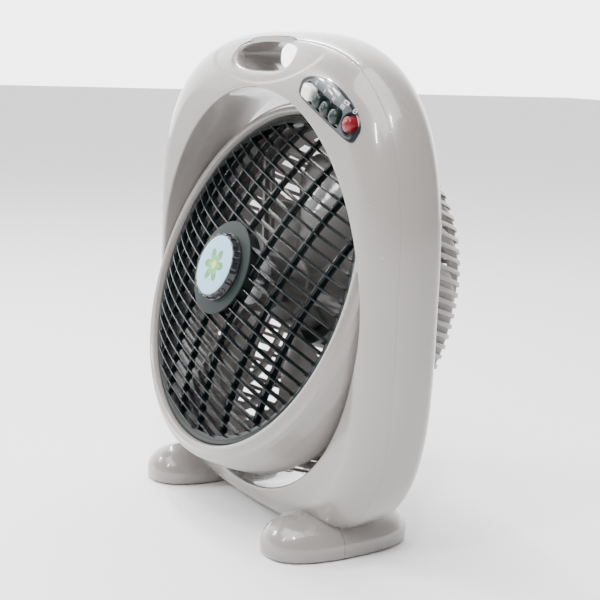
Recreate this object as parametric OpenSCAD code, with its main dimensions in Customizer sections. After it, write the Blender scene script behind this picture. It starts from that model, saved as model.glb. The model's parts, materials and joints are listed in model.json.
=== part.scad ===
// Box fan: an oval ring frame on two feet carries a tilting round head.
// The head holds a turning louvre grille, a five-blade fan and its motor.
// Frame: X across, -Y is the front, Z up. Origin: centre of the feet, on the ground.

/* [Frame] */
// Half width of the oval frame
frame_half_w = 219; // [214:1:225]
// Height of the frame above its widest level
frame_up = 224.3; // [220:0.1:230]
// Depth of the frame below its widest level
frame_down = 226.7; // [222:0.1:230]
// Gap between the frame's lowest point and the ground
ground_gap = 10; // [8:0.5:14]
// Front face of the frame
front_y = -33; // [-35:0.5:-31]
// Rear face of the frame
rear_y = 29.2; // [28:0.1:32]
// Plane where the front and rear shells meet
seam_y = -5; // [-7:0.5:-3]
// Moulded wall thickness of the frame shells
wall = 2.6; // [2.2:0.1:3]
// Front edge rounding at the top and sides
front_round = 46; // [40:1:48]
// Front edge rounding at the bottom
front_round_low = 20; // [17:1:20]
// Rear edge rounding at the top and sides
rear_round = 15.5; // [12:0.5:16]
// Rear edge rounding at the bottom
rear_round_low = 11.5; // [9:0.5:12]
// Half width of the opening that the head sits in
open_half_w = 181.5; // [181:0.1:183]
// Half height of the opening
open_half_h = 188.8; // [188:0.1:190]

/* [Handle] */
// Half length of the hand hole
hand_half_w = 58; // [54:1:60]
// Half height of the hand hole
hand_half_h = 13.5; // [12:0.5:14]
// Depth of the hand hole's centre below the frame's top
hand_drop = 25.5; // [24.5:0.5:26.5]

/* [Feet] */
// Distance of a foot's centre from the middle
foot_x = 115.7; // [110:0.1:120]
// Half width of a foot
foot_half_w = 37.5; // [34:0.5:38]
// Half length of a foot
foot_half_l = 73.5; // [70:0.5:76]
// Height of a foot
foot_h = 36; // [34:0.5:38]

/* [Head] */
// Depth of the tilt pivot below the frame's widest level
pivot_drop = 16.7; // [16.2:0.1:17.2]
// Depth position of the tilt pivot
pivot_y = 2.5; // [2:0.1:3]
// Backward tilt of the head as it stands
tilt = 19.3; // [0:0.1:25]
// Running gap between the head's drum and the frame's opening
head_gap = 2; // [2:0.1:3]
// Depth of the head behind its pivot
head_back = 111; // [105:1:114]

/* [Louvre] */
// Width of the drum's bezel outside the turning louvre
bezel_w = 18.3; // [18.3:0.1:19.5]
// Spacing of the louvre vanes
vane_pitch = 11.5; // [10:0.1:14]
// Thickness of a vane
vane_t = 1.6; // [1.4:0.1:2.4]
// Spacing of the cross bars
bar_pitch = 38.5; // [34:0.5:44]
// Angle of the vanes from level
vane_angle = -16.5; // [-45:0.5:45]

/* [Fan] */
// Number of fan blades
blade_count = 5; // [3:1:7]
// How far the blade tips stay inside the louvre's edge
tip_inset = 20.2; // [16.2:0.5:31.2]
// Diameter of the motor shaft
shaft_d = 8; // [7:0.5:9]

/* [Controls] */
// Travel of a push button
key_travel = 3; // [2:0.5:3.5]

/* [Hidden] */
$fn = 96;
eps = 0.01;

// ---- colours ----
shell_grey = [0.74, 0.73, 0.71];
trim_black = [0.07, 0.08, 0.09];
louvre_black = [0.10, 0.13, 0.13];
steel = [0.66, 0.67, 0.68];

// ---- frame outline, in polar form about the middle of the frame ----
mid_z = ground_gap + frame_down;
top_z = mid_z + frame_up;
hand_z = top_z - hand_drop;
pivot_z = mid_z - pivot_drop;
open_dz = pivot_drop;
drum_r = open_half_w - head_gap;
louvre_r = drum_r - bezel_w;
blade_r = louvre_r - tip_inset;
top_power = 3.0;
low_power = 3.5;
lip = 2.5;
seam_nick = 0.7;

function sq(v) = v * v;

// radius of the frame's outline at polar angle p
function out_r(p) =
    let (n = sin(p) < 0 ? low_power : top_power)
    let (b = sin(p) < 0 ? frame_down : frame_up)
    pow(pow(abs(cos(p)) / frame_half_w, n) + pow(abs(sin(p)) / b, n), -1 / n);

// radius of the opening's edge, measured from the same middle
function open_r(p) =
    let (a = sq(cos(p) / open_half_w) + sq(sin(p) / open_half_h))
    let (b = 2 * open_dz * sin(p) / sq(open_half_h))
    let (c = sq(open_dz / open_half_h) - 1)
    (-b + sqrt(b * b - 4 * a * c)) / (2 * a);

// an edge rounding that changes from its usual value to its low value at the bottom
function edge_r(p, usual, low) =
    let (w = sin(p) < 0 ? sq(sin(p)) : 0)
    usual * (1 - w) + low * w;

// depth of the front face, a distance `off` inside the outline
function face_y(p, off) =
    let (r = edge_r(p, front_round, front_round_low))
    off >= r ? front_y : front_y + r - sqrt(sq(r) - sq(r - off));

// depth of the front face at a place given by x and z
function front_at(x, z) =
    let (p = atan2(z - mid_z, x))
    face_y(p, out_r(p) - norm([x, z - mid_z]));

// points of one arc of an edge rounding: [radius, y], from angle a0 to a1
function edge_arc(r_out, y0, r, dir, t, a0, a1, n) = [
    for (i = [0:n])
        let (a = a0 + (a1 - a0) * i / n)
        [r_out - r + (r - t) * sin(a), y0 + dir * (r - (r - t) * cos(a))]
];

// angle on a rounding where the surface is `depth` behind its face
function arc_at_depth(r, t, depth) = acos(max(0, min(1, (r - depth) / (r - t))));
// angle on a rounding where the surface is `off` inside the outline
function arc_at_off(r, t, off) = asin(max(0, min(1, (r - off) / (r - t))));

arc_steps = 9;
in_steps = 5;

// outer face points of the front half, seam to opening
function front_skin(p) =
    let (ro = out_r(p))
    let (oo = open_r(p))
    let (r = edge_r(p, front_round, front_round_low))
    let (a0 = arc_at_depth(r, 0, seam_y - 1 - front_y))
    let (a1 = arc_at_off(r, 0, ro - oo - lip - 0.8))
    let (ye = face_y(p, ro - oo - lip))
    concat(
        [[ro - r + r * sin(arc_at_depth(r, 0, seam_y - front_y)) - seam_nick, seam_y]],
        edge_arc(ro, front_y, r, 1, 0, a0, a1, arc_steps),
        [[oo + lip, ye], [oo + 0.3 * lip, ye + 0.3 * lip], [oo, ye + lip]]
    );

// outer face points of the rear half, opening to seam
function rear_skin(p) =
    let (ro = out_r(p))
    let (oo = open_r(p))
    let (rf = edge_r(p, front_round, front_round_low))
    let (rr = edge_r(p, rear_round, rear_round_low))
    let (a0 = arc_at_depth(rf, 0, seam_y + 1 - front_y))
    concat(
        [[oo, rear_y - lip], [oo + 0.3 * lip, rear_y - 0.3 * lip], [oo + lip, rear_y]],
        edge_arc(ro, rear_y, rr, -1, 0, 0, 90, arc_steps),
        edge_arc(ro, front_y, rf, 1, 0, 89, a0, 3),
        [[ro - rf + rf * sin(arc_at_depth(rf, 0, seam_y - front_y)) - seam_nick, seam_y]]
    );

// closed wall section of the front shell: skin, inner wall, then the inside of both
function front_wall(p) =
    let (ro = out_r(p))
    let (oo = open_r(p))
    let (r = edge_r(p, front_round, front_round_low))
    let (a1 = arc_at_off(r, wall, ro - oo - wall - 0.8))
    let (a0 = arc_at_depth(r, wall, seam_y - 1 - front_y))
    concat(
        front_skin(p),
        [[oo, seam_y], [oo + wall, seam_y], [oo + wall, front_y + wall + lip + 3]],
        edge_arc(ro, front_y, r, 1, wall, a1, a0, in_steps),
        [[ro - r + (r - wall) * sin(arc_at_depth(r, wall, seam_y - front_y)), seam_y]]
    );

// closed wall section of the rear shell
function rear_wall(p) =
    let (ro = out_r(p))
    let (oo = open_r(p))
    let (rf = edge_r(p, front_round, front_round_low))
    let (rr = edge_r(p, rear_round, rear_round_low))
    let (a0 = arc_at_depth(rf, wall, seam_y + 1 - front_y))
    concat(
        rear_skin(p),
        [[ro - rf + (rf - wall) * sin(arc_at_depth(rf, wall, seam_y - front_y)), seam_y]],
        edge_arc(ro, front_y, rf, 1, wall, a0, 88, 2),
        edge_arc(ro, rear_y, rr, -1, wall, 88, 0, in_steps),
        [[oo + wall, rear_y - wall], [oo + wall, seam_y], [oo, seam_y]]
    );

// closed section of the frame as a full solid, a little larger by grow
function core_section(p, grow) =
    let (ro = out_r(p) + grow)
    let (oo = open_r(p))
    let (rf = edge_r(p, front_round, front_round_low) + grow)
    let (rr = edge_r(p, rear_round, rear_round_low) + grow)
    concat(
        edge_arc(ro, front_y - grow, rf, 1, 0, 90, 0, arc_steps),
        [[oo, front_y - grow], [oo, rear_y + grow]],
        edge_arc(ro, rear_y + grow, rr, -1, 0, 0, 90, arc_steps)
    );

// ring solid swept from closed sections, one per polar angle
function ring_faces(n, m) = [
    for (i = [0:n - 1])
        for (j = [0:m - 1])
            let (i2 = (i + 1) % n)
            let (j2 = (j + 1) % m)
            let (a = i * m + j)
            let (b = i * m + j2)
            let (c = i2 * m + j2)
            let (d = i2 * m + j)
            each [[a, b, c], [a, c, d]]
];

ring_steps = 96;
ring_angles = [for (i = [0:ring_steps - 1]) i * 360 / ring_steps];

module ring_solid(sections) {
    m = len(sections[0]);
    points = [
        for (i = [0:len(sections) - 1])
            for (q = sections[i])
                [q[0] * cos(ring_angles[i]), q[1], mid_z + q[0] * sin(ring_angles[i])]
    ];
    polyhedron(points, ring_faces(len(sections), m), convexity = 8);
}

// part of the ring as a full solid, between two of the ring's sections, with flat ends
module core_part(i0, i1, grow) {
    sections = [for (i = [i0:i1]) core_section(ring_angles[i], grow)];
    n = i1 - i0 + 1;
    m = len(sections[0]);
    points = [
        for (i = [0:n - 1])
            for (q = sections[i])
                [q[0] * cos(ring_angles[i0 + i]), q[1], mid_z + q[0] * sin(ring_angles[i0 + i])]
    ];
    sides = [
        for (i = [0:n - 2])
            for (j = [0:m - 1])
                let (a = i * m + j)
                let (b = i * m + (j + 1) % m)
                each [[a, b, b + m], [a, b + m, a + m]]
    ];
    polyhedron(points, concat([[for (j = [m - 1:-1:0]) j]], sides, [[for (j = [0:m - 1]) (n - 1) * m + j]]));
}

// ---- small helpers ----
module along_y(y0, y1) {
    translate([0, y1, 0])
        rotate([90, 0, 0])
            linear_extrude(height = y1 - y0)
                children();
}

// a cylinder along Y between y0 and y1
module rod_y(r, y0, y1) {
    translate([0, y1, 0])
        rotate([90, 0, 0])
            cylinder(r = r, h = y1 - y0);
}

// a cylinder along X between x0 and x1
module rod_x(r, x0, x1) {
    translate([x0, 0, 0])
        rotate([0, 90, 0])
            cylinder(r = r, h = x1 - x0);
}

// a stadium outline: half length hl over all, half height hh
module stadium(hl, hh) {
    square([2 * (hl - hh), 2 * hh], center = true);
    for (s = [-1, 1])
        translate([s * (hl - hh), 0])
            circle(r = hh);
}

// a pan-head screw along +Y: the head lies on y = 0, the shank runs towards -Y
module screw_y(head_r, head_h, shank_r, shank_l) {
    difference() {
        rod_y(head_r, 0, head_h);
        for (a = [0, 90])
            rotate([0, a, 0])
                translate([-head_r * 0.6, head_h - 0.9, -0.4])
                    cube([head_r * 1.2, 1, 0.8]);
    }
    rod_y(shank_r, -shank_l, eps);
}

// ---- frame shells ----
hand_wall = 2.4;
boss_r = 4.6;
boss_angles = [25, 70, 110, 155, 205, 247, 293, 335];
bush_r = 15;
bush_fit = 0.05;
seat_r = bush_r + 5;
seat_x = open_half_w + wall / 2;
seat_deep = 14;

// middle of the hollow between the outline and the opening
function ring_mid(p) = (out_r(p) - 2 + open_r(p) + wall + 2) / 2;

module hand_hole() {
    translate([0, 0, hand_z])
        along_y(front_y - 10, rear_y + 10)
            stadium(hand_half_w, hand_half_h);
}

// wall of the hand hole, from half way through the front skin to y1
module hand_tunnel(y0, y1) {
    intersection() {
        translate([0, 0, hand_z])
            along_y(y0, y1)
                stadium(hand_half_w + hand_wall, hand_half_h + hand_wall);
        translate([-hand_half_w - 5, 0, 0])
            rotate([90, 0, 90])
                linear_extrude(height = 2 * hand_half_w + 10)
                    polygon(concat(
                        [for (i = [0:8]) hand_edge(i / 8)],
                        [[rear_y, hand_z + 20], [rear_y, hand_z - 20]]
                    ));
    }
}

// middle of the front skin over the hand hole, from below it (0) to above it (1)
function hand_edge(u) =
    let (z = hand_z - 20 + 40 * u)
    [front_at(0, z) + wall / 2, z];

// places the children at each screw boss of the frame
module at_bosses() {
    for (p = boss_angles)
        at_boss(p) children();
}

module at_boss(p) {
    translate([ring_mid(p) * cos(p), 0, mid_z + ring_mid(p) * sin(p)])
        children();
}

// where a boss begins: just inside the front skin
function boss_front(p) = face_y(p, out_r(p) - ring_mid(p) - boss_r) + 1;

// one half of the seat that grips a pivot bush, on both sides of the frame
module bush_seats(y0, y1) {
    for (s = [-1, 1])
        translate([s > 0 ? seat_x : -seat_x - seat_deep, y0, pivot_z - seat_r])
            cube([seat_deep, y1 - y0, 2 * seat_r]);
}

module bush_bores() {
    for (s = [-1, 1])
        translate([0, pivot_y, pivot_z])
            rod_x(bush_r + bush_fit, s > 0 ? open_half_w - 10 : -open_half_w - 30,
                  s > 0 ? open_half_w + 30 : -open_half_w + 10);
}

module front_shell() {
    color(shell_grey)
        difference() {
            union() {
                ring_solid([for (p = ring_angles) front_wall(p)]);
                hand_tunnel(front_y, seam_y);
                for (p = boss_angles)
                    at_boss(p) rod_y(boss_r, boss_front(p), seam_y);
                bush_seats(front_y + 8, seam_y);
            }
            hand_hole();
            bush_bores();
            at_bosses() rod_y(1.3, seam_y - 13, seam_y + 1);
            along_y(front_y - 5, seam_y - 6) fascia_place() fascia_outline(0.88);
            along_y(front_y - 5, seam_y - 6) all_keys(2 * key_fit);
            foot_screw_holes(-1);
        }
}

module rear_shell() {
    color(shell_grey)
        difference() {
            union() {
                ring_solid([for (p = ring_angles) rear_wall(p)]);
                hand_tunnel(seam_y, rear_y - wall / 2 - 0.5);
                at_bosses() rod_y(boss_r, seam_y, rear_y - 0.5);
                bush_seats(seam_y, rear_y - 3);
            }
            hand_hole();
            bush_bores();
            at_bosses() {
                rod_y(1.8, seam_y - 1, rear_y + 1);
                rod_y(3.6, rear_y - 6, rear_y + 1);
            }
            foot_screw_holes(1);
            translate([gland_x, 0, gland_z]) rod_y(gland_r + bush_fit, rear_y - 12, rear_y + 5);
        }
}

shell_head_r = 3.3;
shell_shank_r = 1.25;

module shell_screws() {
    color(steel)
        at_bosses()
            translate([0, rear_y - 6, 0])
                screw_y(shell_head_r, 2.2, shell_shank_r, rear_y - 6 - seam_y + 10.8);
}

// ---- cord gland, low on the rear face; the cord itself is not part of this model ----
gland_angle = 225.5;
gland_x = ring_mid(gland_angle) * cos(gland_angle);
gland_z = mid_z + ring_mid(gland_angle) * sin(gland_angle);
gland_r = 6;

module cord_gland() {
    color(trim_black)
        translate([gland_x, 0, gland_z])
            difference() {
                union() {
                    rod_y(gland_r, rear_y - wall - 2, rear_y + 1);
                    rod_y(gland_r + 2.5, rear_y, rear_y + 2);
                    rod_y(4.6, rear_y, rear_y + 10);
                    rod_y(gland_r + 1.5, rear_y - wall - 4, rear_y - wall);
                }
                rod_y(3.1, rear_y - 20, rear_y + 20);
                for (i = [0:2])
                    translate([-6, rear_y + 3.6 + i * 2.2, i % 2 == 0 ? -6 : 3.9])
                        cube([12, 1, 2.1]);
            }
}

// ---- feet ----
foot_skirt = 10;
foot_rings = 9;
foot_steps = 40;
foot_power = 2.5;
foot_end_r = 30;
pad_r = 7;
pad_h = 1.2;
saddle_gap = 0.2;

// one level of a foot: [height, half width, half length]
function foot_level(i) =
    let (s = cos(84 * i / foot_rings))
    [foot_skirt + (foot_h - foot_skirt) * sin(84 * i / foot_rings),
     foot_half_w * s,
     foot_half_l - foot_end_r * (1 - s)];

function foot_ring(z, w, l) = [
    for (i = [0:foot_steps - 1])
        let (a = 360 * i / foot_steps)
        [w * sign(cos(a)) * pow(abs(cos(a)), 2 / foot_power),
         l * sign(sin(a)) * pow(abs(sin(a)), 2 / foot_power),
         z]
];

module foot_loaf() {
    levels = concat(
        [[pad_h, foot_half_w - 2.5, foot_half_l - 2.5], [pad_h + 2.5, foot_half_w, foot_half_l]],
        [for (i = [0:foot_rings]) foot_level(i)]
    );
    n = foot_steps;
    m = len(levels);
    points = [for (v = levels) each foot_ring(v[0], v[1], v[2])];
    sides = [
        for (k = [0:m - 2])
            for (i = [0:n - 1])
                let (i2 = (i + 1) % n)
                each [[k * n + i2, k * n + i, (k + 1) * n + i2],
                      [(k + 1) * n + i2, k * n + i, (k + 1) * n + i]]
    ];
    polyhedron(points, concat([[for (i = [0:n - 1]) i]], sides, [[for (i = [n - 1:-1:0]) (m - 1) * n + i]]));
}

// the whole foot on one side: a solid loaf with the frame's shape cut out of its top
module foot_solid(side) {
    difference() {
        translate([side * foot_x, 0, 0]) foot_loaf();
        core_part(side < 0 ? 58 : 72, side < 0 ? 72 : 86, saddle_gap);
        at_pads(side) cylinder(r = pad_r + 0.05, h = pad_h + 2);
        at_foot_screws(side) {
            cylinder(r = 1.8, h = 60);
            cylinder(r = 3.6, h = foot_screw_z);
        }
    }
}

// the front (-1) or rear (1) half of a foot
module foot_half(side, end) {
    color(shell_grey)
        intersection() {
            foot_solid(side);
            translate([side * foot_x - 60, end < 0 ? seam_y - 0.15 - 100 : seam_y + 0.15, 0])
                cube([120, 100, 60]);
        }
}

module foot_left_front() foot_half(-1, -1);
module foot_left_rear() foot_half(-1, 1);
module foot_right_front() foot_half(1, -1);
module foot_right_rear() foot_half(1, 1);

module at_pads(side) {
    for (y = [-54, -22, 18, 52])
        translate([side * foot_x, y, 0])
            children();
}

module foot_pads() {
    color([0.16, 0.16, 0.17])
        for (s = [-1, 1])
            at_pads(s) cylinder(r = pad_r, h = pad_h + 2);
}

foot_screw_z = 9;
foot_screw_y = [-17, 11];

module at_foot_screws(side) {
    for (y = foot_screw_y)
        translate([side * (foot_x - 18), y, 0])
            children();
}

// screw holes in the underside of the front (-1) or rear (1) shell
module foot_screw_holes(end) {
    for (s = [-1, 1])
        translate([s * (foot_x - 18), end < 0 ? foot_screw_y[0] : foot_screw_y[1], 0])
            cylinder(r = 1.45, h = 34);
}

module foot_screws() {
    color(steel)
        for (s = [-1, 1])
            at_foot_screws(s) {
                translate([0, 0, foot_screw_z - 2.2]) cylinder(r = 3.3, h = 2.2);
                translate([0, 0, foot_screw_z - eps]) cylinder(r = 1.4, h = 13);
            }
}

// ---- control panel: s runs along the straight edge, v across it, away from the opening ----
panel_x = frame_half_w - 139.4;
panel_z = top_z - 51.2;
panel_turn = -24;
panel_mid_s = 45;
panel_mid_v = 6.5;
panel_half_l = 47.4;
panel_high = 19.3;
panel_low = 12.1;
high_power = 1.8;
straight_power = 6;

function panel_xz(s, v) = [
    panel_x + s * cos(panel_turn) - v * sin(panel_turn),
    panel_z + s * sin(panel_turn) + v * cos(panel_turn)
];

// outline point of the D shape at angle a, at a given scale about its middle
function panel_sv(a, k) =
    let (n = sin(a) < 0 ? straight_power : high_power)
    let (h = sin(a) < 0 ? panel_low : panel_high)
    [panel_mid_s + k * panel_half_l * sign(cos(a)) * pow(abs(cos(a)), 2 / n),
     panel_mid_v + k * h * sign(sin(a)) * pow(abs(sin(a)), 2 / n)];

panel_steps = 40;

// moves the XY plane of a 2D outline, drawn in s and v, into place
module fascia_place() {
    translate([panel_x, panel_z])
        rotate(panel_turn)
            children();
}

module fascia_outline(k) {
    polygon([for (i = [0:panel_steps - 1]) panel_sv(i * 360 / panel_steps, k)]);
}

// point of the frame's face under panel place [s, v], raised by up
function on_face(sv, up) =
    let (q = panel_xz(sv[0], sv[1]))
    [q[0], front_at(q[0], q[1]) - up, q[1]];

// plate that follows the frame's face: rings at scales ks, between two heights
module face_plate(ks, up, down) {
    n = panel_steps;
    m = len(ks);
    top = [for (k = ks) each [for (i = [0:n - 1]) on_face(panel_sv(i * 360 / n, k), up)]];
    base = [for (k = ks) each [for (i = [0:n - 1]) on_face(panel_sv(i * 360 / n, k), down)]];
    centre = [panel_mid_s, panel_mid_v];
    points = concat(top, base, [on_face(centre, up)], [on_face(centre, down)]);
    hub = 2 * m * n;
    side = (m - 1) * n;
    faces = [
        for (i = [0:n - 1])
            let (i2 = (i + 1) % n)
            each concat(
                [for (k = [0:m - 2])
                    let (a = k * n)
                    let (b = a + n)
                    let (c = a + m * n)
                    let (d = c + n)
                    each [[a + i, a + i2, b + i], [b + i, a + i2, b + i2],
                          [c + i2, c + i, d + i2], [d + i2, c + i, d + i]]],
                [[hub, i2, i], [hub + 1, m * n + i, m * n + i2]],
                [[side + i, side + i2, m * n + side + i], [m * n + side + i, side + i2, m * n + side + i2]]
            )
    ];
    polyhedron(points, faces, convexity = 4);
}

fascia_up = 0.8;
fascia_down = -2.4;
flange_gap = 0.25;

module control_fascia() {
    color(trim_black)
        difference() {
            union() {
                face_plate([0.3, 0.6, 0.86], fascia_up, fascia_down);
                difference() {
                    face_plate([0.3, 0.6, 0.86, 0.93, 1], fascia_up, flange_gap);
                    along_y(front_y - 9, seam_y) fascia_place() fascia_outline(0.80);
                }
                for (q = post_spots)
                    fascia_post(q);
            }
            along_y(front_y - 9, seam_y) all_keys(key_fit);
            for (q = post_spots)
                post_bore(q, front_at(panel_xz(q[0], q[1])[0], panel_xz(q[0], q[1])[1]) + 3);
        }
}

// posts behind the fascia that the switch body is screwed to: [s, v]
post_spots = [[6.2, 3.5], [69, 13.5]];
post_r = 2.3;

module fascia_post(q) {
    xz = panel_xz(q[0], q[1]);
    translate([xz[0], 0, xz[1]])
        rod_y(post_r, front_at(xz[0], xz[1]) + 0.8, block_front);
}

module post_bore(q, y0) {
    xz = panel_xz(q[0], q[1]);
    translate([xz[0], 0, xz[1]])
        rod_y(1.28, y0, block_back + 1);
}

// printed band of marks along the curved edge, down to its straight lower edge
strip_low = 13.6;

module legend_strip() {
    color([0.45, 0.48, 0.50])
        intersection() {
            face_plate([0.3, 0.6, 0.86, 0.9], fascia_up + 0.3, fascia_up + 0.05);
            along_y(front_y - 9, seam_y)
                fascia_place()
                    difference() {
                        fascia_outline(0.9);
                        translate([-20, -20]) square([140, 20 + strip_low]);
                        translate([louvre_key[0], louvre_key[1]]) key_outline(louvre_key, 2 * key_fit);
                    }
        }
}

// ---- push buttons: [s, v, half width, half height, stands out by, round] ----
key_fit = 0.4;
key_list = [
    [16.3, 6.1, 6.8, 6.4, 7.2, false],
    [31.0, 5.2, 5.8, 6.2, 7.0, false],
    [45.0, 4.7, 5.8, 6.2, 7.0, false],
    [59.5, 5.2, 5.8, 6.2, 7.0, false],
    [79.5, 8.4, 7.2, 7.2, 6.3, true],
];
louvre_key = key_list[4];
key_stem = 2.4;
key_corner = 3.2;
crown_step = 1;
stem_back = front_y + 20;
stem_fit = 0.3;
stem_spare = 2.5;

module key_outline(k, grow) {
    if (k[5])
        circle(r = k[2] + grow);
    else
        key_square(k[2] + grow, k[3] + grow, key_corner);
}

// rectangle with round corners, made of squares and circles
module key_square(hw, hh, r) {
    square([2 * hw, 2 * (hh - r)], center = true);
    square([2 * (hw - r), 2 * hh], center = true);
    for (sx = [-1, 1])
        for (sy = [-1, 1])
            translate([sx * (hw - r), sy * (hh - r)])
                circle(r = r);
}

// draws all key holes in the panel's own turned plane
module all_keys(grow) {
    for (k = key_list)
        fascia_place()
            translate([k[0], k[1]])
                key_outline(k, grow);
}

function key_x(k) = panel_xz(k[0], k[1])[0];
function key_z(k) = panel_xz(k[0], k[1])[1];

// a push button along Y: cap with a stepped crown, and its stem
module push_key(k, tint) {
    face = front_at(key_x(k), key_z(k));
    color(tint)
        translate([key_x(k), 0, key_z(k)])
            rotate([0, -panel_turn, 0]) {
                along_y(face - k[4] + crown_step, face + 5) key_outline(k, 0);
                along_y(face - k[4], face - k[4] + crown_step + eps) key_outline(k, -crown_step);
                rod_y(key_stem, face + 5 - eps, stem_back);
            }
}

module off_button() push_key(key_list[0], [0.90, 0.90, 0.88]);
module low_button() push_key(key_list[1], [0.10, 0.17, 0.16]);
module medium_button() push_key(key_list[2], [0.10, 0.17, 0.16]);
module high_button() push_key(key_list[3], [0.10, 0.17, 0.16]);
module louvre_button() push_key(louvre_key, [0.62, 0.10, 0.13]);

block_front = front_y + 12;
block_back = front_y + 26;
block_low = [1.5, -2];
block_size = [86, 18];

// switch body behind the panel; every stem runs in its own guide hole
module switch_block() {
    color([0.86, 0.85, 0.80])
        difference() {
            along_y(block_front, block_back)
                fascia_place()
                    translate(block_low) square(block_size);
            along_y(block_front - 1, stem_back + key_travel + stem_spare)
                for (k = key_list)
                    fascia_place()
                        translate([k[0], k[1]]) circle(r = key_stem + stem_fit);
            for (q = post_spots)
                post_bore(q, block_front - 1);
        }
}

module switch_screws() {
    color(steel)
        for (q = post_spots)
            translate([panel_xz(q[0], q[1])[0], 0, panel_xz(q[0], q[1])[1]]) {
                rod_y(1.2, block_front - 5, block_back + eps);
                rod_y(2.4, block_back, block_back + 2);
            }
}

// ---- tilt pivots ----
pin_r = 6;
pin_fit = 0.08;
stop_half = 24;

// sector of a disc, centred on angle a, half width h
module sector(r, a, h) {
    polygon(concat([[0, 0]], [for (i = [0:12]) [r * cos(a - h + 2 * h * i / 12), r * sin(a - h + 2 * h * i / 12)]]));
}

// the frame's tilt limits, as angles of the stop lug about +X from +Y; up is positive
tilt_back_most = 30;
tilt_front_most = 15;
lug_half = 9;
stop_mid = -(tilt_back_most - tilt_front_most) / 2;
stop_span = (tilt_back_most + tilt_front_most) / 2 + lug_half + 2;

// plain bush in the frame, with a sector pocket at its far end for the stop lug
module pivot_bush(side) {
    color([0.88, 0.87, 0.84])
        translate([0, pivot_y, pivot_z])
            mirror([side < 0 ? 1 : 0, 0, 0])
                difference() {
                    union() {
                        rod_x(bush_r, open_half_w + 0.2, open_half_w + 22);
                        rod_x(bush_r + 2, open_half_w + 16.5, open_half_w + 22);
                    }
                    rod_x(pin_r + pin_fit, open_half_w - 5, open_half_w + 40);
                    translate([open_half_w + 14, 0, 0])
                        rotate([90, 0, 90])
                            linear_extrude(height = 20)
                                intersection() {
                                    circle(r = 11.4);
                                    sector(30, stop_mid, stop_span);
                                }
                }
}

module pivot_bush_left() pivot_bush(-1);
module pivot_bush_right() pivot_bush(1);

// everything in the head is drawn upright about its pivot, front towards -Y, then tilted
module in_head() {
    translate([0, pivot_y, pivot_z])
        rotate([-tilt, 0, 0])
            children();
}

// turns a profile drawn as [radius, distance in front of the pivot] about the head's axis
module head_turn() {
    rotate([90, 0, 0])
        rotate_extrude($fn = 180)
            children();
}

module head_rod(r, d0, d1) {
    rod_y(r, -d1, -d0);
}

pin_in = drum_r - 14.5;
pin_out = open_half_w + 20;

module pivot_pin(side) {
    color(steel)
        in_head()
            mirror([side < 0 ? 1 : 0, 0, 0]) {
                rod_x(pin_r, pin_in, pin_out);
                rod_x(pin_r + 4, pin_in - 4, pin_in);
                translate([open_half_w + 14.5, 0, 0])
                    rotate([90, 0, 90])
                        linear_extrude(height = 5)
                            difference() {
                                intersection() {
                                    circle(r = 10.8);
                                    sector(30, 0, lug_half);
                                }
                                circle(r = pin_r - 0.5);
                            }
            }
}

module pivot_pin_left() pivot_pin(-1);
module pivot_pin_right() pivot_pin(1);

washer_t = 1.3;
washer_gap = 0.1;
washer_x = open_half_w - washer_gap - washer_t;
washer_r = 11;
pin_press = 0.02;

module friction_washers() {
    color([0.20, 0.20, 0.20])
        in_head()
            for (s = [-1, 1])
                mirror([s < 0 ? 1 : 0, 0, 0])
                    difference() {
                        rod_x(washer_r, washer_x, washer_x + washer_t);
                        rod_x(pin_r + pin_press, washer_x - 1, washer_x + washer_t + 1);
                    }
}

// ---- head drum: the bezel with its bead, the barrel and the ledge behind the louvre ----
guard_at = -14;
screw_spots = [30, 90, 150, 210, 270, 330];
head_boss_r = 4.2;
head_screw_r = drum_r - 4.8;
louvre_gap = 0.7;
bezel_r = louvre_r + louvre_gap;
ledge_r = louvre_r - 8;
ledge_back = 23.6;

// outline of the drum's wall as [radius, distance in front of the pivot]: up the outside from
// the rear rim, over the crease and the bead, then back past the ledge and down the inside
drum_profile = [
    [drum_r, guard_at], [drum_r, 14],
    [drum_r - 1.3, 23], [drum_r - 2.6, 31], [drum_r - 3.6, 33.8], [drum_r - 5, 35],
    [drum_r - 8, 37.4], [bezel_r + 7.1, 39.4], [bezel_r + 4.9, 40], [bezel_r + 2.7, 39.4],
    [bezel_r + 0.9, 37.8], [bezel_r, 35.4],
    [bezel_r, 26.4], [ledge_r, 26.4], [ledge_r, ledge_back], [drum_r - 8.5, ledge_back],
    [drum_r - 3.2, 14], [drum_r - 3.2, guard_at]
];

module at_head_bosses() {
    for (a = screw_spots)
        translate([head_screw_r * cos(a), 0, head_screw_r * sin(a)])
            children();
}

module head_drum() {
    color(shell_grey)
        in_head()
            difference() {
                union() {
                    head_turn() polygon(drum_profile);
                    for (s = [-1, 1])
                        mirror([s < 0 ? 1 : 0, 0, 0])
                            rod_x(12.5, pin_in, washer_x);
                    intersection() {
                        at_head_bosses() head_rod(head_boss_r, guard_at, 8);
                        head_rod(drum_r - 1, guard_at - 1, 30);
                    }
                }
                rod_x(pin_r + pin_press, -pin_out, pin_out);
                at_head_bosses() head_rod(1.3, guard_at - 1, 4);
                for (a = carrier_angles)
                    rotate([0, a, 0])
                        translate([carrier_screw_r, 0, 0]) head_rod(1.4, 20, 25.6);
            }
}

module head_screws() {
    color(steel)
        in_head()
            at_head_bosses()
                translate([0, flange_t - guard_at, 0])
                    screw_y(2.5, 1.8, 1.2, 15);
}

// ---- rear guard: a domed basket with level slots ----
guard_r = drum_r - 7.7;
guard_power = 4.1;
guard_wall = 2.8;
flange_t = 3;
slot_pitch = 9.6;
slot_h = 6;
slot_rows = 17;
hub_plate_r = 56;
rib_out = guard_r - 31.8;
rib_in = guard_r - 97.8;
rib_x = [-rib_out, -rib_in, rib_in, rib_out];
rib_half = 2.2;

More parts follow.
